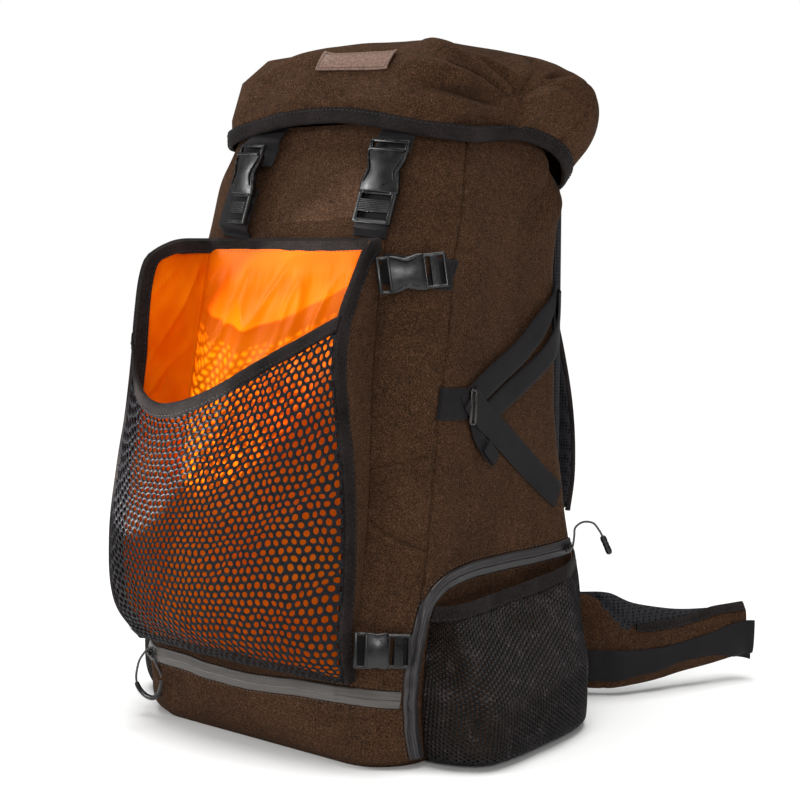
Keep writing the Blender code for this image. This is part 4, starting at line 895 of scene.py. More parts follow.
patch_mesh = bmesh.new()
spread_skin(patch_mesh, 156, 42, patch_place, lambda u, v: (u * PATCH_WIDE, v * PATCH_TALL))
patch = finish("leather_patch", patch_mesh, closed=False)
add_solidify(patch, 0.0010)
dress(patch, leather, "brown_leather", "lid_patch")
patch_line = []
for start, end in (((0.03, 0.13), (0.97, 0.13)), ((0.97, 0.13), (0.97, 0.87)),
                   ((0.97, 0.87), (0.03, 0.87)), ((0.03, 0.87), (0.03, 0.13))):
    for share in spread(0, 1, 24):
        u, v = (a + (b - a) * share for a, b in zip(start, end))
        here = patch_place(u, v)
        normal = lid_normal(PATCH_FROM + (PATCH_TO - PATCH_FROM) * u, PATCH_LOW + (PATCH_HIGH - PATCH_LOW) * v)
        patch_line.append((here, normal.cross(Vector((0, 0, 1))).normalized(), normal))
patch_thread, _, _ = new_material("brown_waxed_thread", "#4A2E22", Roughness=0.5)
stitch_row("patch_stitches", patch_line, 0.0, 0.0001, 0.0024, 0.0012, 0.0003, patch_thread)


# Webbing. Flat woven nylon straps, slightly rounded at their edges, sewn into the seams or run
# through buckles and rings.
def webbing_section(width, inner, outer, across=12):
    """Corners of a strap's section, as places across it and out from the cloth."""
    half, middle = width / 2, (inner + outer) / 2
    upper = [(x, outer - (outer - inner) * 0.30 * abs(x / half) ** 8) for x in spread(-half, half, across + 1)]
    lower = [(x, inner) for x in spread(half, -half, 5)]
    return upper + [(half + 0.0003, middle)] + lower + [(-half - 0.0003, middle)]


def band(name, place, width, inner, outer, count, ring=False, profile=None):
    """A strap through place(share, across, out), with UVs in metres along and across it."""
    section = profile or webbing_section(width, inner, outer)
    total = sum((place(b, 0.0, outer) - place(a, 0.0, outer)).length
                for a, b in zip(spread(0, 1, 41), spread(0, 1, 41)[1:]))

    def corner(u, v):
        across, out = section[round(v * len(section)) % len(section)]
        return place(u % 1.0 if ring else u, across, out)

    mesh = bmesh.new()
    spread_skin(mesh, count, len(section), corner,
                lambda u, v: (u * total, section[round(v * len(section)) % len(section)][0]))
    bmesh.ops.remove_doubles(mesh, verts=mesh.verts[:], dist=1e-6)
    if not ring:
        bmesh.ops.holes_fill(mesh, edges=[e for e in mesh.edges if e.is_boundary], sides=0)
    return finish(name, mesh)


def on_skin(rows, side=1, surface=skin):
    """Places on a strap that follows (t, z) rows over the cloth."""
    def place(share, across, out):
        t, z = path_at(rows, min(max(share, 0), 1))[:2]
        before, after = path_at(rows, max(share - 0.01, 0)), path_at(rows, min(share + 0.01, 1))
        along_t, along_z = after[0] - before[0], after[1] - before[1]
        length = sqrt(along_t**2 + along_z**2)
        return surface(side * (t - across * along_z / length), z + across * along_t / length, out)
    return place


def webbing_material(name, hex_colour):
    """Nylon webbing: a fine herringbone of flat yarns with a dull gleam."""
    made, tree, shader = new_material(name, hex_colour, Roughness=0.66, Sheen_Weight=0.02, Sheen_Roughness=0.35)
    shader.inputs["Specular IOR Level"].default_value = 0.14
    uv = add(tree, "ShaderNodeUVMap").outputs["UV"]
    parts = add(tree, "ShaderNodeSeparateXYZ", {"Vector": uv})
    lane = add(tree, "ShaderNodeMath", {0: parts.outputs["Y"], 1: 0.0014}, operation="PINGPONG")
    slant = add(tree, "ShaderNodeMath", {0: parts.outputs["X"], 1: lane.outputs[0]}, operation="ADD")
    wave = add(tree, "ShaderNodeMath", {0: slant.outputs[0], 1: 0.0008}, operation="PINGPONG")
    yarn = add(tree, "ShaderNodeMapRange", {"Value": wave.outputs[0], "From Max": 0.0008})
    thread = add(tree, "ShaderNodeTexNoise", {"Vector": uv, "Scale": 1100.0, "Detail": 2.0})
    wear = add(tree, "ShaderNodeTexNoise", {"Vector": uv, "Scale": 45.0, "Detail": 3.0})
    both = add(tree, "ShaderNodeMath", {0: yarn.outputs["Result"], 1: thread.outputs["Fac"]}, operation="ADD")
    all_three = add(tree, "ShaderNodeMath", {0: both.outputs[0], 1: wear.outputs["Fac"]}, operation="ADD")
    tone = add(tree, "ShaderNodeMapRange", {"Value": all_three.outputs[0], "From Min": 0.7, "From Max": 2.2,
                                            "To Min": 0.55, "To Max": 1.55})
    scaled = add(tree, "ShaderNodeVectorMath", {0: colour(hex_colour)[:3], "Scale": tone.outputs["Result"]},
                 operation="SCALE")
    tree.links.new(scaled.outputs["Vector"], shader.inputs["Base Color"])
    bump = add(tree, "ShaderNodeBump", {"Height": both.outputs[0], "Strength": 0.45, "Distance": 0.0003})
    tree.links.new(bump.outputs["Normal"], shader.inputs["Normal"])
    return made


webbing = webbing_material("black_nylon_webbing", "#1A181A")
WEBBING_STAND, WEBBING_THICK = 0.0006, 0.0014


# Lid straps. Short webbing sewn under the lid's rim, a side-release buckle, and the webbing behind
# the pouch that the buckle's lower part slides on.
# place, stand, turn outwards, lean
LID_BUCKLES = {"right": (0.0830, 0.0020, 0.00, -0.10), "left": (0.0680, 0.0062, 0.26, 0.13)}
LID_BUCKLE_Z, LID_BUCKLE_WIDTH, LID_SOCKET, LID_PLUG, LID_WEBBING = 0.4620, 0.0400, 0.0370, 0.0260, 0.033


def seat(t, z, stand, side):
    """A frame on the bag's cloth: X runs round the bag, Y up it, Z away from it."""
    here = bag(t, z)
    along = (bag(t + 0.012, z) - bag(t - 0.012, z)).normalized()
    upward = (bag(t, z + 0.012) - bag(t, z - 0.012)).normalized()
    normal = along.cross(upward).normalized()
    made = Matrix((along, normal.cross(along), normal)).transposed().to_4x4()
    made.translation = here + normal * stand
    return Matrix.Diagonal((-1, 1, 1, 1)) @ made if side < 0 else made


def plastic_material(name, hex_colour, roughness):
    """Moulded nylon: half gloss, with the fine spark-eroded texture of its mould and a gloss that varies at random."""
    made, tree, shader = new_material(name, hex_colour, Roughness=roughness)
    shader.inputs["Specular IOR Level"].default_value = 0.5
    place = add(tree, "ShaderNodeTexCoord").outputs["Object"]
    grain = add(tree, "ShaderNodeTexNoise", {"Vector": place, "Scale": 1900.0, "Detail": 2.0})
    smear = add(tree, "ShaderNodeTexNoise", {"Vector": place, "Scale": 130.0, "Detail": 4.0})
    gloss = add(tree, "ShaderNodeMapRange", {"Value": smear.outputs["Fac"], "From Min": 0.3, "From Max": 0.7,
                                             "To Min": roughness - 0.07, "To Max": roughness + 0.10})
    tree.links.new(gloss.outputs["Result"], shader.inputs["Roughness"])
    bump = add(tree, "ShaderNodeBump", {"Height": grain.outputs["Fac"], "Strength": 0.12, "Distance": 0.0002})
    tree.links.new(bump.outputs["Normal"], shader.inputs["Normal"])
    return made


moulded = plastic_material("black_moulded_nylon", "#080708", 0.31)


def moulding(mesh, thickness, edge=0.0010):
    """Give a flat outline thickness behind it and round its edges, as a mould does."""
    bmesh.ops.recalc_face_normals(mesh, faces=mesh.faces[:])
    if sum(f.normal.z for f in mesh.faces) < 0:
        bmesh.ops.reverse_faces(mesh, faces=mesh.faces[:])
    bmesh.ops.solidify(mesh, geom=mesh.faces[:], thickness=thickness)
    bmesh.ops.recalc_face_normals(mesh, faces=mesh.faces[:])
    sharp = [e for e in mesh.edges if len(e.link_faces) == 2 and e.calc_face_angle(0) > radians(55)]
    bmesh.ops.bevel(mesh, geom=sharp, offset=edge, offset_type="OFFSET", affect="EDGES", segments=2,
                    profile=0.5, material=-1, clamp_overlap=True)


def plate(xs, ys, holes, place):
    """A grid of lines xs and ys with holes named by cell, its corners put where place(x, y) says."""
    mesh = bmesh.new()
    bmesh.ops.create_grid(mesh, x_segments=len(xs) - 1, y_segments=len(ys) - 1, size=0.5)
    cells = {}
    for face in mesh.faces:
        middle = face.calc_center_median()
        cells[face] = (int((middle.x + 0.5) * (len(xs) - 1)), int((middle.y + 0.5) * (len(ys) - 1)))
    gone = [face for face, cell in cells.items() if holes(*cell)]
    for vert in mesh.verts:
        i, j = round((vert.co.x + 0.5) * (len(xs) - 1)), round((vert.co.y + 0.5) * (len(ys) - 1))
        vert.co = place(xs[i], ys[j])
    bmesh.ops.delete(mesh, geom=gone, context="FACES")
    return mesh


def bar(mesh, start, end, wide, tall, edge=0.0006):
    """A rounded bar between two points of the mesh's own frame."""
    made = bmesh.ops.create_cube(mesh, size=1.0)["verts"]
    along = end - start
    size = Matrix.Diagonal((along.length, wide, tall, 1.0))
    turn = along.to_track_quat("X", "Z").to_matrix().to_4x4()
    bmesh.ops.transform(mesh, matrix=Matrix.Translation((start + end) / 2) @ turn @ size, verts=made)
    edges = list({e for v in made for e in v.link_edges})
    bmesh.ops.bevel(mesh, geom=edges, offset=edge, offset_type="OFFSET", affect="EDGES", segments=2,
                    profile=0.5, material=-1, clamp_overlap=True)


def buckle(name, seat_frame, width, socket, plug, thick, nip, nodes):
    """A side-release buckle: a waisted hollow body, and a slotted plug with two springy prongs."""
    half = width / 2

    def waist(y):
        share = y / socket
        return half * (1.0 - nip * exp(-((share - 0.52) / 0.20) ** 2))

    def body_place(x, y):
        w = waist(y)
        across = x * w
        crown = 1 - 0.36 * abs(x) ** 2.2
        mouth = 0.94 + 0.06 * ease(y / socket, 0.0, 0.12)
        return Vector((across, y, thick * crown * mouth * (0.86 + 0.14 * sin(pi * min(y / socket, 1.0)))))

    xs = spread(-1, 1, 17)
    ys = spread(0.0004, socket, 27)
    mesh = plate(xs, ys, lambda i, j: False, body_place)
    moulding(mesh, thick * 0.62, 0.0009)
    for side in (-1, 1):
        rail_x = side * half * 0.90
        bar(mesh, Vector((rail_x, socket - 0.0020, thick * 0.42)), Vector((rail_x, socket + 0.0075, thick * 0.42)),
            half * 0.16, thick * 0.42)
    bar(mesh, Vector((-half * 0.97, socket + 0.0078, thick * 0.36)), Vector((half * 0.97, socket + 0.0078, thick * 0.36)),
        0.0030, thick * 0.40)
    bar(mesh, Vector((-half * 0.88, socket - 0.0004, thick * 0.80)), Vector((half * 0.88, socket - 0.0004, thick * 0.80)),
        0.0024, 0.0022)
    ridge_y = socket * 0.19
    bar(mesh, Vector((half * 0.24, ridge_y - 0.001, thick * 0.985)), Vector((half * 0.62, ridge_y + 0.004, thick * 0.86)),
        0.0006, 0.0007, 0.0002)
    for side in (-1, 1) if nip > 0.1 else ():     # lips of the openings through which the prongs are pressed
        lip = [Vector((side * half * x, socket * y, thick * z)) for x, y, z in
               ((0.93, 0.95, 0.66), (0.84, 0.80, 0.78), (0.68, 0.62, 0.86), (0.62, 0.50, 0.88), (0.68, 0.36, 0.84), (0.80, 0.24, 0.76))]
        for a, b in zip(lip, lip[1:]):
            step = (b - a).normalized() * 0.0003
            bar(mesh, a - step, b + step, 0.0008, 0.0016, 0.0003)
    bmesh.ops.transform(mesh, matrix=seat_frame, verts=mesh.verts[:])
    dress(finish(name + "_socket_body", mesh), moulded, "black_plastic", nodes[0])

    rail, low = half * 0.86, -plug
    lines = [-half * 0.94, -rail + half * 0.10, rail - half * 0.10, half * 0.94]
    levels = [low, low + plug * 0.15, low + plug * 0.37, -plug * 0.23, -plug * 0.05, 0.0012]
    mesh = plate(lines, levels, lambda i, j: i == 1 and j in (1, 3), lambda x, y: Vector((x, y, thick * 0.62)))
    moulding(mesh, thick * 0.50, 0.0008)
    rib_low, rib_high = low + plug * 0.37, -plug * 0.23
    for k in range(7):
        y = rib_low + (rib_high - rib_low) * (k + 0.5) / 7
        bar(mesh, Vector((-rail + half * 0.09, y, thick * 0.66)), Vector((rail - half * 0.09, y, thick * 0.66)),
            (rib_high - rib_low) / 7 * 0.62, thick * 0.14, 0.0003)
    for side in (-1, 1):
        track = [Vector((side * half * x, socket * y, thick * 0.42)) for x, y in
                 ((0.70, -0.02), (0.76, 0.12), (0.80, 0.24), (0.83, 0.36), (0.80, 0.47), (0.71, 0.55), (0.56, 0.58))]
        for a, b in zip(track, track[1:]):
            step = (b - a).normalized() * 0.0006
            bar(mesh, a - step, b + step, half * 0.10, thick * 0.50, 0.0005)
    bmesh.ops.transform(mesh, matrix=seat_frame, verts=mesh.verts[:])
    dress(finish(name + "_plug_body", mesh), moulded, "black_plastic", nodes[1])


for side, word in ((1, "right"), (-1, "left")):
    t, stand, turn, lean = LID_BUCKLES[word]
    buckle_seat = seat(t, LID_BUCKLE_Z, stand, side) @ Matrix.Rotation(turn, 4, "Y") @ Matrix.Rotation(lean, 4, "Z")
    buckle("lid_buckle_" + word, buckle_seat, LID_BUCKLE_WIDTH, LID_SOCKET, LID_PLUG, 0.0088, 0.19,
           (f"lid_buckle_{word}_socket", f"lid_buckle_{word}_plug"))

    def lid_strap_place(share, across, out):
        """Down from under the lid's rim and round behind the buckle's top bar."""
        fall = share * 0.0400
        z = LID_BUCKLE_Z + LID_SOCKET + 0.0310 - fall
        lift = (stand + 0.0022) * ease(fall, 0.004, 0.018) + 0.0022 * exp(-((z - LID_BUCKLE_Z - LID_SOCKET - 0.0115) / 0.0035) ** 2)
        tilt = -side * across * turn * ease(fall, 0.006, 0.022)
        drift = -side * lean * (z - LID_BUCKLE_Z) - 0.0030 * side
        return skin(side * t + drift - across, z, out + 0.0006 + lift + tilt)

    dress(band("lid_strap_cloth_" + word, lid_strap_place, LID_WEBBING, 0.0, WEBBING_THICK, 26), webbing,
          "black_tape", "lid_strap_" + word)
    front_way = on_skin([(side * (t - lean * (z - LID_BUCKLE_Z)) - 0.002, z) for z in (0.4720, 0.4560, 0.4400, 0.4280)])

    def front_strap_place(share, across, out):
        """Held up against the buckle's slots, flat on the cloth below it."""
        return front_way(share, across - side * turn * 0.002, out + (stand + 0.0012) * (1 - ease(share, 0.72, 0.95)))

    dress(band("front_strap_cloth_" + word, front_strap_place, LID_WEBBING + 0.002, WEBBING_STAND,
               WEBBING_STAND + WEBBING_THICK, 24), webbing, "black_tape", "front_strap_" + word)


# Side straps. A smaller buckle at each corner of the pouch, on webbing that is sewn into the pouch's
# back and into the bag's corner seam.
SIDE_BUCKLES = {("upper", "right"): (0.3990, 0.0970, 0.1580, 0.10, 0.0310),   # height, from, to, turn, width
                ("upper", "left"): (0.3990, 0.1110, 0.1700, 0.10, 0.0310),
                ("lower", "right"): (0.0990, 0.1165, 0.1540, -0.05, 0.0290),
                ("lower", "left"): (0.0990, 0.1165, 0.1540, -0.05, 0.0290)}
SIDE_PLUG, SIDE_WEBBING = 0.0180, 0.0245
for side, word in ((1, "right"), (-1, "left")):
    for level in ("upper", "lower"):
        z, start, end, turn, width = SIDE_BUCKLES[level, word]
        joint = (start + end) / 2 + 0.004
        buckle_seat = seat(joint, z, 0.0022, side) @ Matrix.Rotation(pi / 2 + turn, 4, "Z")
        buckle(f"side_buckle_{level}_{word}", buckle_seat, width, joint - start - 0.0040, SIDE_PLUG, 0.0078,
               0.17 if level == "upper" else 0.06,
               (f"side_buckle_{level}_{word}_socket", f"side_buckle_{level}_{word}_plug"))
        slope = -turn * 0.9
        rows = [(t, z + slope * (t - joint)) for t in (start - 0.010, start + 0.002, joint - 0.004)]
        slip = band(f"side_strap_inner_{level}_{word}", on_skin(rows, side), SIDE_WEBBING * 0.96,
                    WEBBING_STAND, WEBBING_STAND + WEBBING_THICK, 12)
        slip.data.materials.append(webbing)
        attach(slip, "root")
        rows = [(t, z + slope * (t - joint)) for t in (joint + 0.004, (joint + end) / 2, end)]
        dress(band(f"side_strap_{level}_{word}", on_skin(rows, side), SIDE_WEBBING, WEBBING_STAND,
                   WEBBING_STAND + WEBBING_THICK, 14), webbing, "black_tape", f"side_webbing_{level}_{word}")


# Zips. Closed coil zips under a coated grey tape that keeps rain out: one across the foot of the
# front, one round the front and top of each side pocket.
ZIP_WIDTH = 0.0135
SIDE_ZIP_ROWS = ((0.350, 0.1525), (0.312, 0.1510), (0.253, 0.1505), (0.212, 0.1500),   # place round, height
                 (0.186, 0.1470), (0.170, 0.1380), (0.1640, 0.1240), (0.1625, 0.1040),
                 (0.1610, 0.0776), (0.1612, 0.0610), (0.1630, 0.0250), (0.1640, 0.0080))
FRONT_ZIP_ROWS = ((-0.1520, 0.0590), (-0.1230, 0.0580), (-0.0830, 0.0580), (-0.0400, 0.0550),
                  (0.0070, 0.0550), (0.0640, 0.0600), (0.1180, 0.0620), (0.1520, 0.0590))


def zip_material(name, dark, light):
    """Coated zip tape: a rubbery grey film over woven cloth, drawn into fine streaks along the zip."""
    made, tree, shader = new_material(name, light, Roughness=0.46, Coat_Weight=0.08, Coat_Roughness=0.25)
    run = add(tree, "ShaderNodeMapping", {"Vector": add(tree, "ShaderNodeUVMap").outputs["UV"], "Scale": (35.0, 700.0, 1.0)})
    streak = add(tree, "ShaderNodeTexNoise", {"Vector": run.outputs["Vector"], "Scale": 1.0, "Detail": 4.0})
    tone = add(tree, "ShaderNodeValToRGB", {"Fac": streak.outputs["Fac"]})
    tone.color_ramp.elements[0].position, tone.color_ramp.elements[0].color = 0.25, colour(dark)
    tone.color_ramp.elements[1].position, tone.color_ramp.elements[1].color = 0.80, colour(light)
    tree.links.new(tone.outputs["Color"], shader.inputs["Base Color"])
    bump = add(tree, "ShaderNodeBump", {"Height": streak.outputs["Fac"], "Strength": 0.25, "Distance": 0.0003})
    tree.links.new(bump.outputs["Normal"], shader.inputs["Normal"])
    return made


zip_coat = zip_material("coated_zip_tape", "#423E3B", "#55504C")
# the side zips get a darker copy of the same coated tape: painted shade for the sides, which face away from the lamps
side_zip_coat_painted_shade = zip_material("coated_zip_tape_painted_shade", "#1F1C1D", "#2E2A2B")


def zip_profile(stand):
    """Two lips of coated tape that meet over the coil in the middle, flat at their sewn edges."""
    upper = []
    for x in spread(-ZIP_WIDTH / 2, ZIP_WIDTH / 2, 25):
        coil = 0.0008 * exp(-(x / 0.0034) ** 2) - 0.0007 * exp(-(x / 0.00045) ** 2)
        hem = -0.0007 * exp(-((abs(x) - ZIP_WIDTH / 2) / 0.0006) ** 2)
        upper.append((x, stand + 0.0016 + coil + hem))
    return upper + [(ZIP_WIDTH / 2, stand), (0.0, stand), (-ZIP_WIDTH / 2, stand)]


def wavy(place, sway, swell):
    """The same strap, pulled a little out of line as worn cloth does."""
    def moved(share, across, out):
        shift = sway * noise.noise(Vector((share * 14, 0.0, 5.0))) + sway * 0.6 * noise.noise(Vector((share * 37, 2, 0)))
        return place(share, across + shift, out + swell * noise.noise(Vector((share * 30, across * 90, 1.0))))
    return moved


def zip_frames(rows, side, inset):
    """Frames for a row of stitches along one edge of a zip's tape."""
    place = on_skin(rows, side)
    made = []
    for share in spread(0, 1, 200):
        here, up = place(share, inset, 0.0012), place(share, inset, 0.0112)
        inward = place(share, 0.0, 0.0012)
        made.append((here, (inward - here).normalized(), (up - here).normalized()))
    return made


brown_thread, _, _ = new_material("brown_polyester_thread", "#4B382B", Roughness=0.55)
for name, rows, side, stand in (("front_zip", FRONT_ZIP_ROWS, 1, 0.0005), ("side_zip_right", SIDE_ZIP_ROWS, 1, 0.0012),
                                ("side_zip_left", SIDE_ZIP_ROWS, -1, 0.0012)):
    dress(band(name + "_tape", wavy(on_skin(rows, side), 0.0005, 0.00025), ZIP_WIDTH, stand, stand + 0.0018, 170,
               profile=zip_profile(stand)), zip_coat if name == "front_zip" else side_zip_coat_painted_shade, "coated_zip", name)
    for edge, inset in (("upper", ZIP_WIDTH / 2 + 0.0016), ("lower", -ZIP_WIDTH / 2 - 0.0016)):
        stitch_row(f"{name}_{edge}_stitches", zip_frames(rows, side, inset), 0.0, -0.0009, 0.0026, 0.0018, 0.00032,
                   brown_thread)

slider_metal, slider_tree, slider_shader = new_material("gunmetal_slider", "#2E2C2B", Roughness=0.30, Metallic=0.9)
slider_noise = add(slider_tree, "ShaderNodeTexNoise", {"Vector": add(slider_tree, "ShaderNodeTexCoord").outputs["Object"],
                                                       "Scale": 600.0, "Detail": 3.0})
slider_gloss = add(slider_tree, "ShaderNodeMapRange", {"Value": slider_noise.outputs["Fac"], "To Min": 0.2, "To Max": 0.5})
slider_tree.links.new(slider_gloss.outputs["Result"], slider_shader.inputs["Roughness"])
for name, t, z, turn in (("front_zip_slider", -0.1180, 0.0582, 0.0), ("side_zip_slider", 0.3420, 0.1522, 0.0)):
    mesh = bmesh.new()
    bar(mesh, Vector((-0.0050, 0, 0.0012)), Vector((0.0050, 0, 0.0012)), 0.0078, 0.0018, 0.0008)
    bar(mesh, Vector((-0.0036, 0, 0.0032)), Vector((0.0040, 0, 0.0032)), 0.0030, 0.0026, 0.0009)
    bmesh.ops.transform(mesh, matrix=seat(t, z, 0.0034, 1) @ Matrix.Rotation(turn, 4, "Z"), verts=mesh.verts[:])
    slider = finish(name, mesh)
    slider.data.materials.append(slider_metal)
    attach(slider, "root")


# Side pockets. Bellied pockets of heavy knitted mesh at the foot of each side, sewn in behind the
# zip and drawn in by the tape along their mouth.
POCKET_FRONT_T, POCKET_BACK_T, POCKET_FOOT, POCKET_DRAW, POCKET_CLOTH = 0.1735, 0.3720, 0.0045, 0.73, 0.0012
# share of the way back, height of the pocket's mouth, how far the pocket bellies out
POCKET_ROWS = ((0.00, 0.1290, 0.000), (0.03, 0.1288, 0.028), (0.08, 0.1284, 0.046), (0.16, 0.1286, 0.054),
               (0.33, 0.1300, 0.058), (0.50, 0.1322, 0.057), (0.65, 0.1352, 0.053), (0.78, 0.1396, 0.046),
               (0.87, 0.1425, 0.035), (0.95, 0.1458, 0.018), (1.00, 0.1490, 0.000))


@lru_cache(maxsize=None)
def pocket_place(back, up):
    mouth, belly = read_rows(POCKET_ROWS, back)
    t = POCKET_FRONT_T + (POCKET_BACK_T - POCKET_FRONT_T) * back
    if up <= 0.0:
        return bag(t, POCKET_FOOT, 0.0012)
    drawn = POCKET_DRAW + 0.22 * ease(back, 0.80, 0.96)
    fullness = 0.94 + 0.06 * sin(pi * min(up * 2, 1.0)) - drawn * ease(up, 0.35, 1.0)
    return bag(t, POCKET_FOOT + (mouth - POCKET_FOOT) * up, 0.0012 + max(belly, 0.0) * fullness)


def pocket(side):
    """The pocket's worn cloth on one side of the bag, out metres off it."""
    def place(back, up, out):
        back, up = min(max(back, 0.0), 1.0), min(max(up, 0.0), 1.0)
        near = lambda a, b: pocket_place(round(min(max(a, 0), 1), 4), round(min(max(b, 0.0001), 1), 4))
        across = near(back + 0.02, max(up, 0.01)) - near(back - 0.02, max(up, 0.01))
        normal = across.cross(near(back, up + 0.02) - near(back, up - 0.02)).normalized()
        if up < 0.045:
            normal = (normal + Vector((0, 0, -1)) * (1 - up / 0.045)).normalized()
        here = near(back, up) if up > 0 else pocket_place(round(back, 4), 0.0)
        if side < 0:        # this one lies a little flatter
            here = here.lerp(bag(POCKET_FRONT_T + (POCKET_BACK_T - POCKET_FRONT_T) * back, here.z, 0.0012), 0.2)
        slack = 0.0022 * noise.noise(here * 26 + Vector((0, 4, 0))) * sin(pi * back) * ease(up, 0.02, 0.2)
        slack += 0.0012 * sin(back * 60 + 5 * up) * ease(up, 0.75, 0.98) * sin(pi * back)
        here = here + normal * (out + slack)
        return Vector((side * here.x, here.y, here.z))
    return place


POCKET_WIDE, POCKET_TALL, LACE_PITCH, LACE_SLANT = 0.262, 0.140, 0.0043, -0.62
pocket_run = [0.0]
for i in range(200):
    pocket_run.append(pocket_run[-1] + (pocket_place((i + 1) / 200, 0.4) - pocket_place(i / 200, 0.4)).length)


def way_back(share):
    """How far back a place lies that is this share of the way along the pocket's own cloth."""
    want = min(max(share, 0.0), 1.0) * pocket_run[-1]
    k = min(max(i for i in range(201) if pocket_run[i] <= want + 1e-9), 199)
    return (k + (want - pocket_run[k]) / (pocket_run[k + 1] - pocket_run[k])) / 200


lace, lace_tree, lace_shader = new_material("black_knitted_mesh", "#121011", Roughness=0.5)
lace_shader.inputs["Specular IOR Level"].default_value = 0.2
lace_place = add(lace_tree, "ShaderNodeTexCoord").outputs["Object"]
lace_glint = add(lace_tree, "ShaderNodeTexNoise", {"Vector": lace_place, "Scale": 520.0, "Detail": 2.0})
lace_cloud = add(lace_tree, "ShaderNodeTexNoise", {"Vector": lace_place, "Scale": 70.0, "Detail": 2.0})
lace_both = add(lace_tree, "ShaderNodeMath", {0: lace_glint.outputs["Fac"], 1: lace_cloud.outputs["Fac"]}, operation="ADD")
lace_tone = add(lace_tree, "ShaderNodeMapRange", {"Value": lace_both.outputs[0], "From Min": 0.65, "From Max": 1.5})
# the grey end of this ramp, where glint and cloud noise add up, is painted glints; the rest is tone that varies at
# random
lace_tone_and_painted_glints = add(lace_tree, "ShaderNodeValToRGB", {"Fac": lace_tone.outputs["Result"]})
lace_tone_and_painted_glints.color_ramp.elements[0].position, lace_tone_and_painted_glints.color_ramp.elements[0].color = 0.2, colour("#080707")
lace_tone_and_painted_glints.color_ramp.elements[1].position, lace_tone_and_painted_glints.color_ramp.elements[1].color = 0.95, colour("#4C464A")
lace_middle = lace_tone_and_painted_glints.color_ramp.elements.new(0.6)
lace_middle.color = colour("#1D1819")
lace_tree.links.new(lace_tone_and_painted_glints.outputs["Color"], lace_shader.inputs["Base Color"])
lace_bump = add(lace_tree, "ShaderNodeBump", {"Height": lace_glint.outputs["Fac"], "Strength": 0.6, "Distance": 0.0006})
lace_tree.links.new(lace_bump.outputs["Normal"], lace_shader.inputs["Normal"])

# a lighter copy of the loden: painted light, which offsets the shade inside the pocket
pocket_loden_painted_lighter = wool("loden_wool_behind_knit_painted_lighter", "#6B4C36")
for side, word in ((1, "right"), (-1, "left")):
    surface = pocket(side)
    slant = Matrix.Rotation(LACE_SLANT, 3, "Z")
    centre = Vector((POCKET_WIDE / 2, POCKET_TALL / 2, 0))
    reach = 0.32

    def inside(x, y):
        here = slant @ Vector((x - reach / 2, y - reach / 2, 0)) + centre
        over = LACE_PITCH * 0.3
        return -over < here.x < POCKET_WIDE + over and -over < here.y < POCKET_TALL + over

    mesh = hex_net(reach, reach, LACE_PITCH, 0.0027, 0.0024, inside)
    for vert in mesh.verts:
        flat = slant @ Vector((vert.co.x - reach / 2, vert.co.y - reach / 2, 0)) + centre
        rim = ease(min(flat.x, POCKET_WIDE - flat.x, flat.y), -0.0005, 0.0040)     # thin where it is sewn in
        vert.co = surface(way_back(flat.x / POCKET_WIDE), flat.y / POCKET_TALL * 0.985, vert.co.z * rim + 0.0010)
    bmesh.ops.recalc_face_normals(mesh, faces=mesh.faces[:])
    knit = dress(finish("side_pocket_knit_" + word, mesh, closed=False), lace, "black_mesh", "side_pocket_" + word)
    # the knit is backed with loden, which shows brown through its holes; this loden is painted lighter than the bag's,
    # painted light that offsets the shade inside the pocket
    mesh = bmesh.new()
    spread_skin(mesh, 90, 40, lambda u, v: surface(way_back(u), v * 0.985, -0.0006))
    if side < 0:
        bmesh.ops.reverse_faces(mesh, faces=mesh.faces[:])
    backing = add_solidify(finish("side_pocket_backing_" + word, mesh, closed=False), 0.0010)
    backing.data.materials.append(pocket_loden_painted_lighter)
    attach(backing, "root")
    mouth = []
    for back in spread(0.0, 1.0, 120):
        edge, below = surface(back, 1.0, 0.0006), surface(back, 0.90, 0.0006)
        out = (surface(back, 0.97, 0.0106) - surface(back, 0.97, 0.0006)).normalized()
        mouth.append((edge, (below - edge).normalized(), out))
    mouth = soften_frames(even_frames(mouth, 0.0025), 2)
    dress(folded_tape("side_pocket_tape_" + word, mouth, TAPE_WIDTH, -0.0012, 0.0016), grosgrain, "black_tape",
          "side_pocket_binding_" + word)
    stitch_row(f"side_pocket_stitches_{word}", mouth, TAPE_WIDTH - 0.0020, 0.0019)


# Crossed side straps. A sewn loop holds a slim metal ring; one long webbing runs up through it to
# the back's edge and returns in a loose bight, another runs down, and its folded end hangs below.
CINCH_WIDTH = 0.0225
CINCH_LOOP_ROWS = ((0.1545, 0.2925), (0.1700, 0.2915), (0.1905, 0.2905))
CINCH_UPPER_ROWS = ((0.1820, 0.2870), (0.2191, 0.3103), (0.2545, 0.3292), (0.2800, 0.3495), (0.3000, 0.3690),
                    (0.3110, 0.3860))
CINCH_BIGHT_ROWS = ((0.2060, 0.2720), (0.2276, 0.2850), (0.2560, 0.2990), (0.2763, 0.3090), (0.3000, 0.3240),
                    (0.3150, 0.3430), (0.3180, 0.3610), (0.3150, 0.3800))
CINCH_LOWER_ROWS = ((0.1880, 0.2960), (0.2056, 0.2805), (0.2407, 0.2580), (0.2838, 0.2289), (0.3150, 0.2075), (0.3290, 0.1985))
CINCH_TAIL_ROWS = ((0.1990, 0.2740), (0.2030, 0.2640), (0.2110, 0.2540), (0.2210, 0.2450), (0.2250, 0.2410))


def lifted(place, lift):
    """The same strap, held lift(share) metres further off the cloth."""
    return lambda share, across, out: place(share, across, out + lift(share))


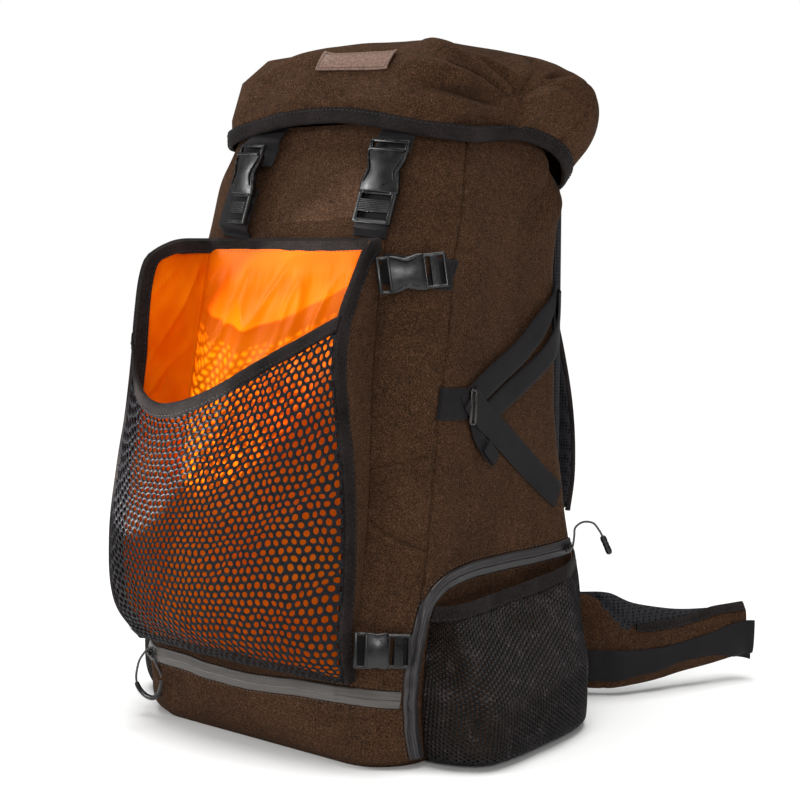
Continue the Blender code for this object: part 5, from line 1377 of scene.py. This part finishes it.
ring_steel, ring_tree, ring_shader = new_material("blackened_steel", "#4A4644", Roughness=0.28, Metallic=1.0)
ring_wear = add(ring_tree, "ShaderNodeTexNoise", {"Vector": add(ring_tree, "ShaderNodeTexCoord").outputs["Object"],
                                                  "Scale": 300.0, "Detail": 4.0})
ring_gloss = add(ring_tree, "ShaderNodeMapRange", {"Value": ring_wear.outputs["Fac"], "To Min": 0.15, "To Max": 0.45})
ring_tree.links.new(ring_gloss.outputs["Result"], ring_shader.inputs["Roughness"])
for side, word in ((1, "right"), (-1, "left")):
    pieces = (("cinch_loop_", CINCH_LOOP_ROWS, 0.0255, lambda s: 0.0014 * ease(s, 0.3, 1.0), 10, 1.0),
              ("cinch_strap_upper_", CINCH_UPPER_ROWS, CINCH_WIDTH, lambda s: 0.0016 + 0.0030 * sin(pi * s), 40, 0.30),
              ("cinch_strap_lower_", CINCH_LOWER_ROWS, CINCH_WIDTH, lambda s: 0.0040 * (1 - ease(s, 0.1, 0.7)), 36, 1.0),
              ("cinch_tail_", CINCH_TAIL_ROWS, 0.0120, lambda s: 0.0016 + 0.0036 * s, 18, 1.0))
    for name, rows, width, lift, count, narrow in pieces:
        place = lifted(on_skin(rows, side), lift)

        def tapered(share, across, out, place=place, narrow=narrow):
            """Seen edge on where the strap twists under the back's edge."""
            return place(share, across * (1 - (1 - narrow) * ease(share, 0.55, 1.0)), out)

        dress(band(name + word + "_webbing", tapered, width, WEBBING_STAND, WEBBING_STAND + WEBBING_THICK, count),
              webbing, "black_tape", name + word)
    bight = band("cinch_bight_" + word, lifted(on_skin(CINCH_BIGHT_ROWS, side), lambda s: 0.0008 + 0.0050 * ease(s, 0.3, 0.9)),
                 CINCH_WIDTH * 0.94, WEBBING_STAND, WEBBING_STAND + WEBBING_THICK, 48)
    bight.data.materials.append(webbing)
    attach(bight, "root")
    mesh = bmesh.new()
    corners = [(0.0, -0.0140), (0.0, 0.0140), (0.0062, 0.0140), (0.0062, -0.0140), (0.0, -0.0140)]
    for (x0, y0), (x1, y1) in zip(corners, corners[1:]):
        bar(mesh, Vector((x0, y0, 0)), Vector((x1, y1, 0)), 0.0026, 0.0026, 0.0009)
    bmesh.ops.transform(mesh, matrix=seat(0.1880, 0.2880, 0.0046, side) @ Matrix.Rotation(-0.12, 4, "Z"),
                        verts=mesh.verts[:])
    ring = finish("cinch_ring_" + word, mesh)
    ring.data.materials.append(ring_steel)
    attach(ring, "root")
    fold_over = band("cinch_tail_fold_" + word, lifted(on_skin([(a, b) for a, b in CINCH_TAIL_ROWS[2:]], side),
                                                      lambda s: 0.0066 + 0.0006 * s),
                     0.0112, WEBBING_STAND, WEBBING_STAND + 0.0020, 10)
    fold_over.data.materials.append(webbing)
    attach(fold_over, "root")


# Back panel. A padded back of black spacer mesh over foam, sewn to the bag all round, with a deep
# channel down the middle and two across it, which let air through.
PANEL_HALF, PANEL_TALL, PANEL_MIDDLE, PANEL_RADIUS, BACK_Y = 0.1345, 0.2300, 0.2650, 0.035, 0.1070
spacer, spacer_tree, spacer_shader = new_material("black_spacer_mesh", "#121213", Roughness=0.85)
spacer_shader.inputs["Specular IOR Level"].default_value = 0.15
spacer_place = add(spacer_tree, "ShaderNodeTexCoord").outputs["Object"]
# round openings of the knit, drawn at 3 mm and painted darker at their middles: painted shade inside the openings
cells = add(spacer_tree, "ShaderNodeTexVoronoi", {"Vector": spacer_place, "Scale": 330.0, "Randomness": 0.15})
opening_painted_shade = add(spacer_tree, "ShaderNodeValToRGB", {"Fac": cells.outputs["Distance"]})
opening_painted_shade.color_ramp.elements[0].position, opening_painted_shade.color_ramp.elements[0].color = 0.22, colour("#08080A")
opening_painted_shade.color_ramp.elements[1].position, opening_painted_shade.color_ramp.elements[1].color = 0.52, colour("#2C2C2F")
spacer_tree.links.new(opening_painted_shade.outputs["Color"], spacer_shader.inputs["Base Color"])
cell_bump = add(spacer_tree, "ShaderNodeBump", {"Height": cells.outputs["Distance"], "Strength": 0.7, "Distance": 0.0010})
spacer_tree.links.new(cell_bump.outputs["Normal"], spacer_shader.inputs["Normal"])

panel_stations = [(0.0890, 0.0060), (0.0893, 0.0010), (0.0930, 0.0), (0.0970, 0.0), (0.1010, 0.0020), (0.1045, 0.0060),
                  (0.1060, 0.0110)] + [(BACK_Y, inset) for inset in spread(0.016, PANEL_HALF - 0.001, 44)]


def panel_place(u, v):
    y, inset = panel_stations[round(v * (len(panel_stations) - 1))]
    radius = max(PANEL_RADIUS - inset * 0.6, 0.002)
    dims = (PANEL_HALF - inset, inset - PANEL_TALL, PANEL_TALL - inset, radius, radius)
    x, z = outline(dims, (2 * u - 1) * sum(runs(dims)))
    if v > 0.12:
        y -= 0.0075 * exp(-(x / 0.014) ** 2) * ease(inset, 0.0, 0.03)
        for level in (-0.085, 0.075):
            y -= 0.0055 * exp(-((z - level) / 0.009) ** 2) * ease(inset, 0.0, 0.03)
        y += 0.0016 * noise.noise(Vector((x * 14, z * 14, 0))) - 0.0010
    return Vector((x, y, PANEL_MIDDLE + z))


panel_mesh = bmesh.new()
spread_skin(panel_mesh, 180, len(panel_stations) - 1, panel_place)
bmesh.ops.remove_doubles(panel_mesh, verts=panel_mesh.verts[:], dist=1e-6)
bmesh.ops.holes_fill(panel_mesh, edges=[e for e in panel_mesh.edges if e.is_boundary], sides=0)
panel = dress(finish("back_padding", panel_mesh), spacer, "padded_mesh", "back_panel")


# Shoulder straps. Curved foam pads in spacer mesh, taped round their edges, with a webbing sewn
# down the middle; a ladder adjuster hangs at the foot of each, on webbing from the back's foot.
SHOULDER_ROWS = ((0.0500, 0.1132, 0.4480, 0.062), (0.0510, 0.1160, 0.4300, 0.064),
                 (0.0550, 0.1300, 0.4020, 0.066), (0.0620, 0.1480, 0.3600, 0.066),
                 (0.0740, 0.1540, 0.3080, 0.062), (0.0880, 0.1510, 0.2550, 0.056),
                 (0.0990, 0.1410, 0.2050, 0.050), (0.1060, 0.1280, 0.1680, 0.042))
SHOULDER_PAD, ADJUSTER_LEAN, ADJUSTER_TURN = 0.011, 0.34, 0.188


def along_rows(rows, side, flat_way=Vector((1, 0, 0))):
    """Places on a band along (x, y, z, ...) rows: across it, and out from its middle."""
    def place(share, across, out):
        here = Vector(path_at(rows, min(max(share, 0), 1))[:3])
        ahead, behind = (Vector(path_at(rows, min(max(share + d, 0), 1))[:3]) for d in (0.015, -0.015))
        along = (ahead - behind).normalized()
        wide = (flat_way - along * flat_way.dot(along)).normalized()
        point = here + wide * across + along.cross(wide).normalized() * out
        return Vector((side * point.x, point.y, point.z))
    return place


def pad_section(half_thickness, corners=26, power=0.55):
    """A cushioned section of width 1: full in the middle and drawn in at both edges."""
    made = []
    for i in range(corners):
        angle = 2 * pi * i / corners
        across = copysign(abs(cos(angle)) ** power, cos(angle)) / 2
        made.append((across, copysign(abs(sin(angle)) ** power, sin(angle)) * half_thickness))
    return made


for side, word in ((1, "right"), (-1, "left")):
    way = along_rows(SHOULDER_ROWS, side)

    def pad_place(share, across, out, way=way):
        width = path_at(SHOULDER_ROWS, share)[3]
        ends = 1 - 0.35 * ease(abs(2 * share - 1), 0.93, 1.0)
        quilt = 1 - 0.22 * exp(-((abs(across) - 0.30) / 0.045) ** 2)
        crease = 0.0006 * noise.noise(Vector((share * 22, across * 3, 4.0)))
        return way(share, across * (width - 0.001) * ends, out * ends * quilt + crease)

    pad = band("shoulder_pad_" + word, pad_place, 1.0, 0.0, 0.0, 90, profile=pad_section(SHOULDER_PAD / 2))
    dress(pad, spacer, "padded_mesh", "shoulder_strap_" + word)
    for edge in (-1, 1):
        def hem_place(share, across, out, way=way, edge=edge):
            width = path_at(SHOULDER_ROWS, share)[3]
            return way(share, edge * (width / 2 - 0.0012) + across, out)
        hem = band(f"shoulder_hem_{word}_{'outer' if edge > 0 else 'inner'}", hem_place, 0.0040, -0.0022, 0.0022, 80,
                   profile=[(0.0024 * cos(a), 0.0030 * sin(a)) for a in spread(0, 2 * pi * 11 / 12, 12)])
        hem.data.materials.append(grosgrain)
        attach(hem, "root")
    spine = band("shoulder_webbing_" + word, lambda s, a, o, way=way: way(0.03 + 0.94 * s, a, o), 0.020,
                 -SHOULDER_PAD / 2 - 0.0011, -SHOULDER_PAD / 2 + 0.0004, 70)
    spine.data.materials.append(webbing)
    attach(spine, "root")

    x, y, z, _ = SHOULDER_ROWS[-1]
    adjuster_seat = (Matrix.Translation((side * (x + 0.0024), y - 0.0046, z - 0.0131))
                     @ Matrix.Rotation(-ADJUSTER_TURN * side, 4, "Y") @ Matrix.Rotation(pi / 2 - ADJUSTER_LEAN, 4, "X"))
    mesh = plate([-0.0160, -0.0115, 0.0115, 0.0160], [-0.0130, -0.0090, -0.0030, 0.0030, 0.0090, 0.0130],
                 lambda i, j: i == 1 and j in (1, 3), lambda a, b: Vector((a, b, 0.0019)))
    moulding(mesh, 0.0038, 0.0008)
    bar(mesh, Vector((-0.0120, -0.0118, 0.0022)), Vector((0.0120, -0.0118, 0.0022)), 0.0030, 0.0016, 0.0006)
    for x_rib in spread(-0.009, 0.009, 7):
        bar(mesh, Vector((x_rib, -0.0024, 0.0021)), Vector((x_rib, 0.0024, 0.0021)), 0.0012, 0.0008, 0.0003)
    bmesh.ops.transform(mesh, matrix=adjuster_seat, verts=mesh.verts[:])
    dress(finish("strap_ladder_" + word, mesh), moulded, "black_plastic", "strap_adjuster_" + word)
    tail_rows = ((x + 0.0046, y - 0.0094, z - 0.0262), (x + 0.0060, y - 0.0135, z - 0.0370),
                 (x + 0.0085, BACK_Y + 0.0018, z - 0.0560), (x + 0.0115, BACK_Y + 0.0015, z - 0.0700))
    dress(band("strap_tail_" + word, along_rows(tail_rows, side), 0.020, -0.0008, 0.0008, 30), webbing, "black_tape",
          "strap_webbing_" + word)

# Haul loop. A short loop of webbing sewn into the top of the back.
LOOP_HALF, LOOP_REACH, LOOP_Z = 0.0110, 0.0260, 0.4370
loop_feet = [(1.30 * LOOP_HALF, 0.0018), (1.06 * LOOP_HALF, 0.0022)]
loop_bow = [(LOOP_HALF * cos(a), 0.0035 + LOOP_REACH * sin(a)) for a in spread(0.3, pi - 0.3, 7)]
loop_rows = [(x, BACK_Y + y, LOOP_Z) for x, y in loop_feet + loop_bow + [(-x, y) for x, y in reversed(loop_feet)]]
dress(band("haul_loop_webbing", along_rows(loop_rows, 1, Vector((0, 0, 1))), 0.016, -0.0011, 0.0011, 60), webbing,
      "black_tape", "haul_loop")


# Hip belt. One foam band behind the bag's foot whose fins curve back round the hips: loden outside,
# spacer mesh inside and along the top, a webbing sewn on the outside that ends in a flap.
BELT_ROWS = ((0.0000, 0.1150, 0.0080, 0.0920, 0.0150), (0.0600, 0.1150, 0.0080, 0.0920, 0.0150),
             (0.1100, 0.1155, 0.0080, 0.0940, 0.0150), (0.1450, 0.1200, 0.0060, 0.0970, 0.0150),
             (0.1700, 0.1330, 0.0060, 0.0970, 0.0150), (0.1840, 0.1500, 0.0080, 0.0870, 0.0150),
             (0.1970, 0.1740, 0.0100, 0.0800, 0.0145), (0.2095, 0.1985, 0.0140, 0.0750, 0.0140),
             (0.2260, 0.2285, 0.0180, 0.0730, 0.0130), (0.2445, 0.2625, 0.0240, 0.0730, 0.0110))
BELT_TIP = 0.2445
BELT_WEBBING_ROWS = ((0.1500, 0.0140, 0.0440), (0.1700, 0.0145, 0.0440), (0.1840, 0.0170, 0.0430),
                     (0.1970, 0.0205, 0.0425), (0.2095, 0.0260, 0.0450), (0.2260, 0.0280, 0.0510),
                     (0.2380, 0.0230, 0.0570), (0.2445, 0.0200, 0.0580), (0.2490, 0.0180, 0.0580))
# distance from the middle, height of the wool's upper edge on the outside
BELT_WOOL_ROWS = ((0.1450, 0.0960), (0.1600, 0.0930), (0.1720, 0.0800), (0.1840, 0.0650), (0.1970, 0.0640),
                  (0.2095, 0.0655), (0.2260, 0.0700), (0.2445, 0.0720))


def belt_section(x):
    """The belt at a distance x from the middle: its middle, half its height, and its outward normal."""
    y, low, high, thickness = read_rows(BELT_ROWS, abs(x))
    start, end = max(abs(x) - 0.004, 0.0), min(abs(x) + 0.004, BELT_TIP)
    along = Vector((end - start, read_rows(BELT_ROWS, end)[0] - read_rows(BELT_ROWS, start)[0], 0)).normalized()
    normal = Vector((along.y, -along.x, 0))
    if x < 0:
        normal.x *= -1
    return Vector((x, y, (low + high) / 2)), (high - low) / 2, normal, thickness / 2


def belt_face(x, z, out, side):
    """A point on the belt's outer face at a height, or out metres off it."""
    middle, half, normal, thick = belt_section(side * min(x, BELT_TIP))
    along = Vector((-normal.y, normal.x, 0)) * side
    up = min(abs(z - middle.z) / half, 1.0)
    bulge = thick * max(1 - up ** (2 / 0.6), 0.0) ** 0.3
    slack = 0.0014 * noise.noise(Vector((x * 30, z * 30, side)))
    here = middle + along * max(x - BELT_TIP, 0.0) * 1.6 + normal * (bulge + out + slack)
    return Vector((here.x, here.y, z))


def belt_place(u, v):
    x = BELT_TIP * copysign(abs(2 * u - 1) ** 0.85, 2 * u - 1)
    middle, half, normal, thick = belt_section(x)
    angle = 2 * pi * v
    up = copysign(abs(cos(angle)) ** 0.6, cos(angle))
    through = copysign(abs(sin(angle)) ** 0.6, sin(angle))
    here = middle + Vector((0, 0, half * up)) + normal * thick * through
    slack = 0.0014 * noise.noise(Vector((abs(x) * 30, here.z * 30, copysign(1, x))))
    if through > 0:
        here += normal * slack * ease(through, 0.0, 0.4)
        rim = read_rows(BELT_WOOL_ROWS, abs(x))[0]
        if abs(x) > 0.145:
            here -= normal * 0.0022 * exp(-((here.z - rim) / 0.0030) ** 2)
            here -= normal * 0.0016 * exp(-((abs(x) - 0.1840 + (0.065 - here.z) * 0.3) / 0.0016) ** 2) * ease(0.068 - here.z, 0, 0.004)
    return here


belt_mesh = bmesh.new()
spread_skin(belt_mesh, 260, 72, belt_place)
bmesh.ops.remove_doubles(belt_mesh, verts=belt_mesh.verts[:], dist=1e-6)
bmesh.ops.holes_fill(belt_mesh, edges=[e for e in belt_mesh.edges if e.is_boundary], sides=0)
bmesh.ops.recalc_face_normals(belt_mesh, faces=belt_mesh.faces[:])
for face in belt_mesh.faces:
    middle = face.calc_center_median()
    _, _, normal, _ = belt_section(copysign(min(abs(middle.x), BELT_TIP), middle.x))
    wool_side = face.normal.dot(normal) > 0.05 and abs(middle.x) > 0.10
    face.material_index = 0 if wool_side and middle.z < read_rows(BELT_WOOL_ROWS, abs(middle.x))[0] else 1
belt = finish("hip_belt_pad", belt_mesh)
dress(belt, loden, "loden_wool", "hip_belt")
belt.data.materials.append(spacer)

for side, word in ((1, "right"), (-1, "left")):
    def belt_strap_place(u, v):
        x = 0.1500 + (0.2490 - 0.1500) * u
        low, high = read_rows(BELT_WEBBING_ROWS, x)
        curl = 0.0030 * ease(x, 0.2445, 0.2490) + 0.0008 * sin(u * 30)
        return belt_face(x, low + (high - low) * v, 0.0016 + curl, side)

    mesh = bmesh.new()
    spread_skin(mesh, 110, 22, belt_strap_place)
    if side < 0:
        bmesh.ops.reverse_faces(mesh, faces=mesh.faces[:])
    dress(add_solidify(finish("belt_strap_" + word, mesh, closed=False), 0.0014), webbing, "black_tape",
          "belt_webbing_" + word)
    rim = []
    for x in spread(0.1850, BELT_TIP - 0.0006, 60):
        z = read_rows(BELT_WOOL_ROWS, x)[0]
        here, below = belt_face(x, z + 0.0035, 0.0002, side), belt_face(x, z - 0.0045, 0.0002, side)
        rim.append((here, (below - here).normalized(), belt_section(side * x)[2]))
    rim = soften_frames(even_frames(rim, 0.0025), 2)
    tape = folded_tape("belt_tape_" + word, rim, 0.0080, -0.0016, 0.0012)
    tape.data.materials.append(grosgrain)
    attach(tape, "root")
    stitch_row(f"belt_stitches_{word}", rim, 0.0064, 0.0014)


# Zip pulls. A thin cord through each slider: on the right it ends in a moulded grip, on the left it
# is a loop whose foot runs in a curved plastic sheath.
RIGHT_CORD = ((0.1691, 0.0681, 0.1525), (0.1680, 0.0718, 0.1604), (0.1672, 0.0748, 0.1676), (0.1732, 0.0780, 0.1729),
              (0.1818, 0.0810, 0.1726), (0.1864, 0.0840, 0.1662), (0.1886, 0.0858, 0.1612))
RIGHT_GRIP_END = (0.1946, 0.0895, 0.1450)
LEFT_CORD = ((-0.1165, -0.1773, 0.0632), (-0.1216, -0.1785, 0.0620), (-0.1325, -0.1785, 0.0505),
             (-0.1368, -0.1785, 0.0395), (-0.1380, -0.1785, 0.0320), (-0.1360, -0.1785, 0.0255),
             (-0.1305, -0.1785, 0.0205), (-0.1230, -0.1790, 0.0180), (-0.1145, -0.1790, 0.0185),
             (-0.1065, -0.1790, 0.0255), (-0.1035, -0.1790, 0.0360), (-0.1060, -0.1790, 0.0430),
             (-0.1118, -0.1785, 0.0500), (-0.1160, -0.1780, 0.0572))
CORD_DIAMETER, LEFT_SHEATH = 0.0020, (0.35, 0.78)


def route_points(rows, count):
    return [Vector(path_at(rows, share)) for share in spread(0, 1, count)]


def tube(name, points, sizes, sides=12):
    """A round tube through points, with a radius at each, closed at both ends."""
    def corner(u, v):
        i = round(u * (len(points) - 1))
        along = (points[min(i + 1, len(points) - 1)] - points[max(i - 1, 0)]).normalized()
        wide = along.cross(Vector((0.3, 1, 0.1))).normalized()
        angle = 2 * pi * v
        return points[i] + (wide * cos(angle) + along.cross(wide) * sin(angle)) * sizes[i]
    mesh = bmesh.new()
    total = sum((b - a).length for a, b in zip(points, points[1:]))
    spread_skin(mesh, len(points) - 1, sides, corner, lambda u, v: (u * total, v * sizes[0] * 6.28))
    bmesh.ops.remove_doubles(mesh, verts=mesh.verts[:], dist=1e-6)
    bmesh.ops.holes_fill(mesh, edges=[e for e in mesh.edges if e.is_boundary], sides=0)
    return finish(name, mesh)


braid, braid_tree, braid_shader = new_material("braided_cord", "#3A383A", Roughness=0.6)
braid_uv = add(braid_tree, "ShaderNodeUVMap").outputs["UV"]
braid_turn = add(braid_tree, "ShaderNodeMapping", {"Vector": braid_uv, "Rotation": (0, 0, radians(35)),
                                                   "Scale": (1800.0, 1800.0, 1.0)})
braid_check = add(braid_tree, "ShaderNodeTexChecker", {"Vector": braid_turn.outputs["Vector"], "Scale": 1.0,
                                                       "Color1": colour("#5B585B"), "Color2": colour("#232224")})
braid_tree.links.new(braid_check.outputs["Color"], braid_shader.inputs["Base Color"])

start, end = Vector(RIGHT_CORD[-1]), Vector(RIGHT_GRIP_END)
along = (end - start).normalized()
grip_shape = ((0.0, 0.0019), (0.05, 0.0026), (0.15, 0.0030), (0.30, 0.0029), (0.36, 0.0026), (0.42, 0.0029),
              (0.50, 0.0029), (0.56, 0.0026), (0.62, 0.0029), (0.85, 0.0030), (0.95, 0.0025), (1.0, 0.0015))
grip = tube("zip_pull_grip_right", [start + along * 0.0005 + (end - start) * s for s, _ in grip_shape],
            [r for _, r in grip_shape], 16)
dress(grip, moulded, "black_plastic", "zip_grip_right")
right_points = route_points(RIGHT_CORD, 28)
right_cord = dress(tube("zip_pull_cord_right", right_points, [CORD_DIAMETER / 2] * 28), braid, "black_tape",
                   "zip_cord_right")

left_points = route_points(LEFT_CORD, 40)
sheath_points = route_points(LEFT_CORD, 90)[round(LEFT_SHEATH[0] * 89):round(LEFT_SHEATH[1] * 89) + 1]
sheath_size = [0.0023 - 0.0004 * exp(-min(i, len(sheath_points) - 1 - i) / 1.5) for i in range(len(sheath_points))]
sheath = dress(tube("zip_pull_sheath_left", sheath_points, sheath_size, 14), moulded, "black_plastic", "zip_grip_left")
left_cord = dress(tube("zip_pull_cord_left", left_points, [CORD_DIAMETER / 2] * 40), braid, "black_tape",
                  "zip_cord_left")
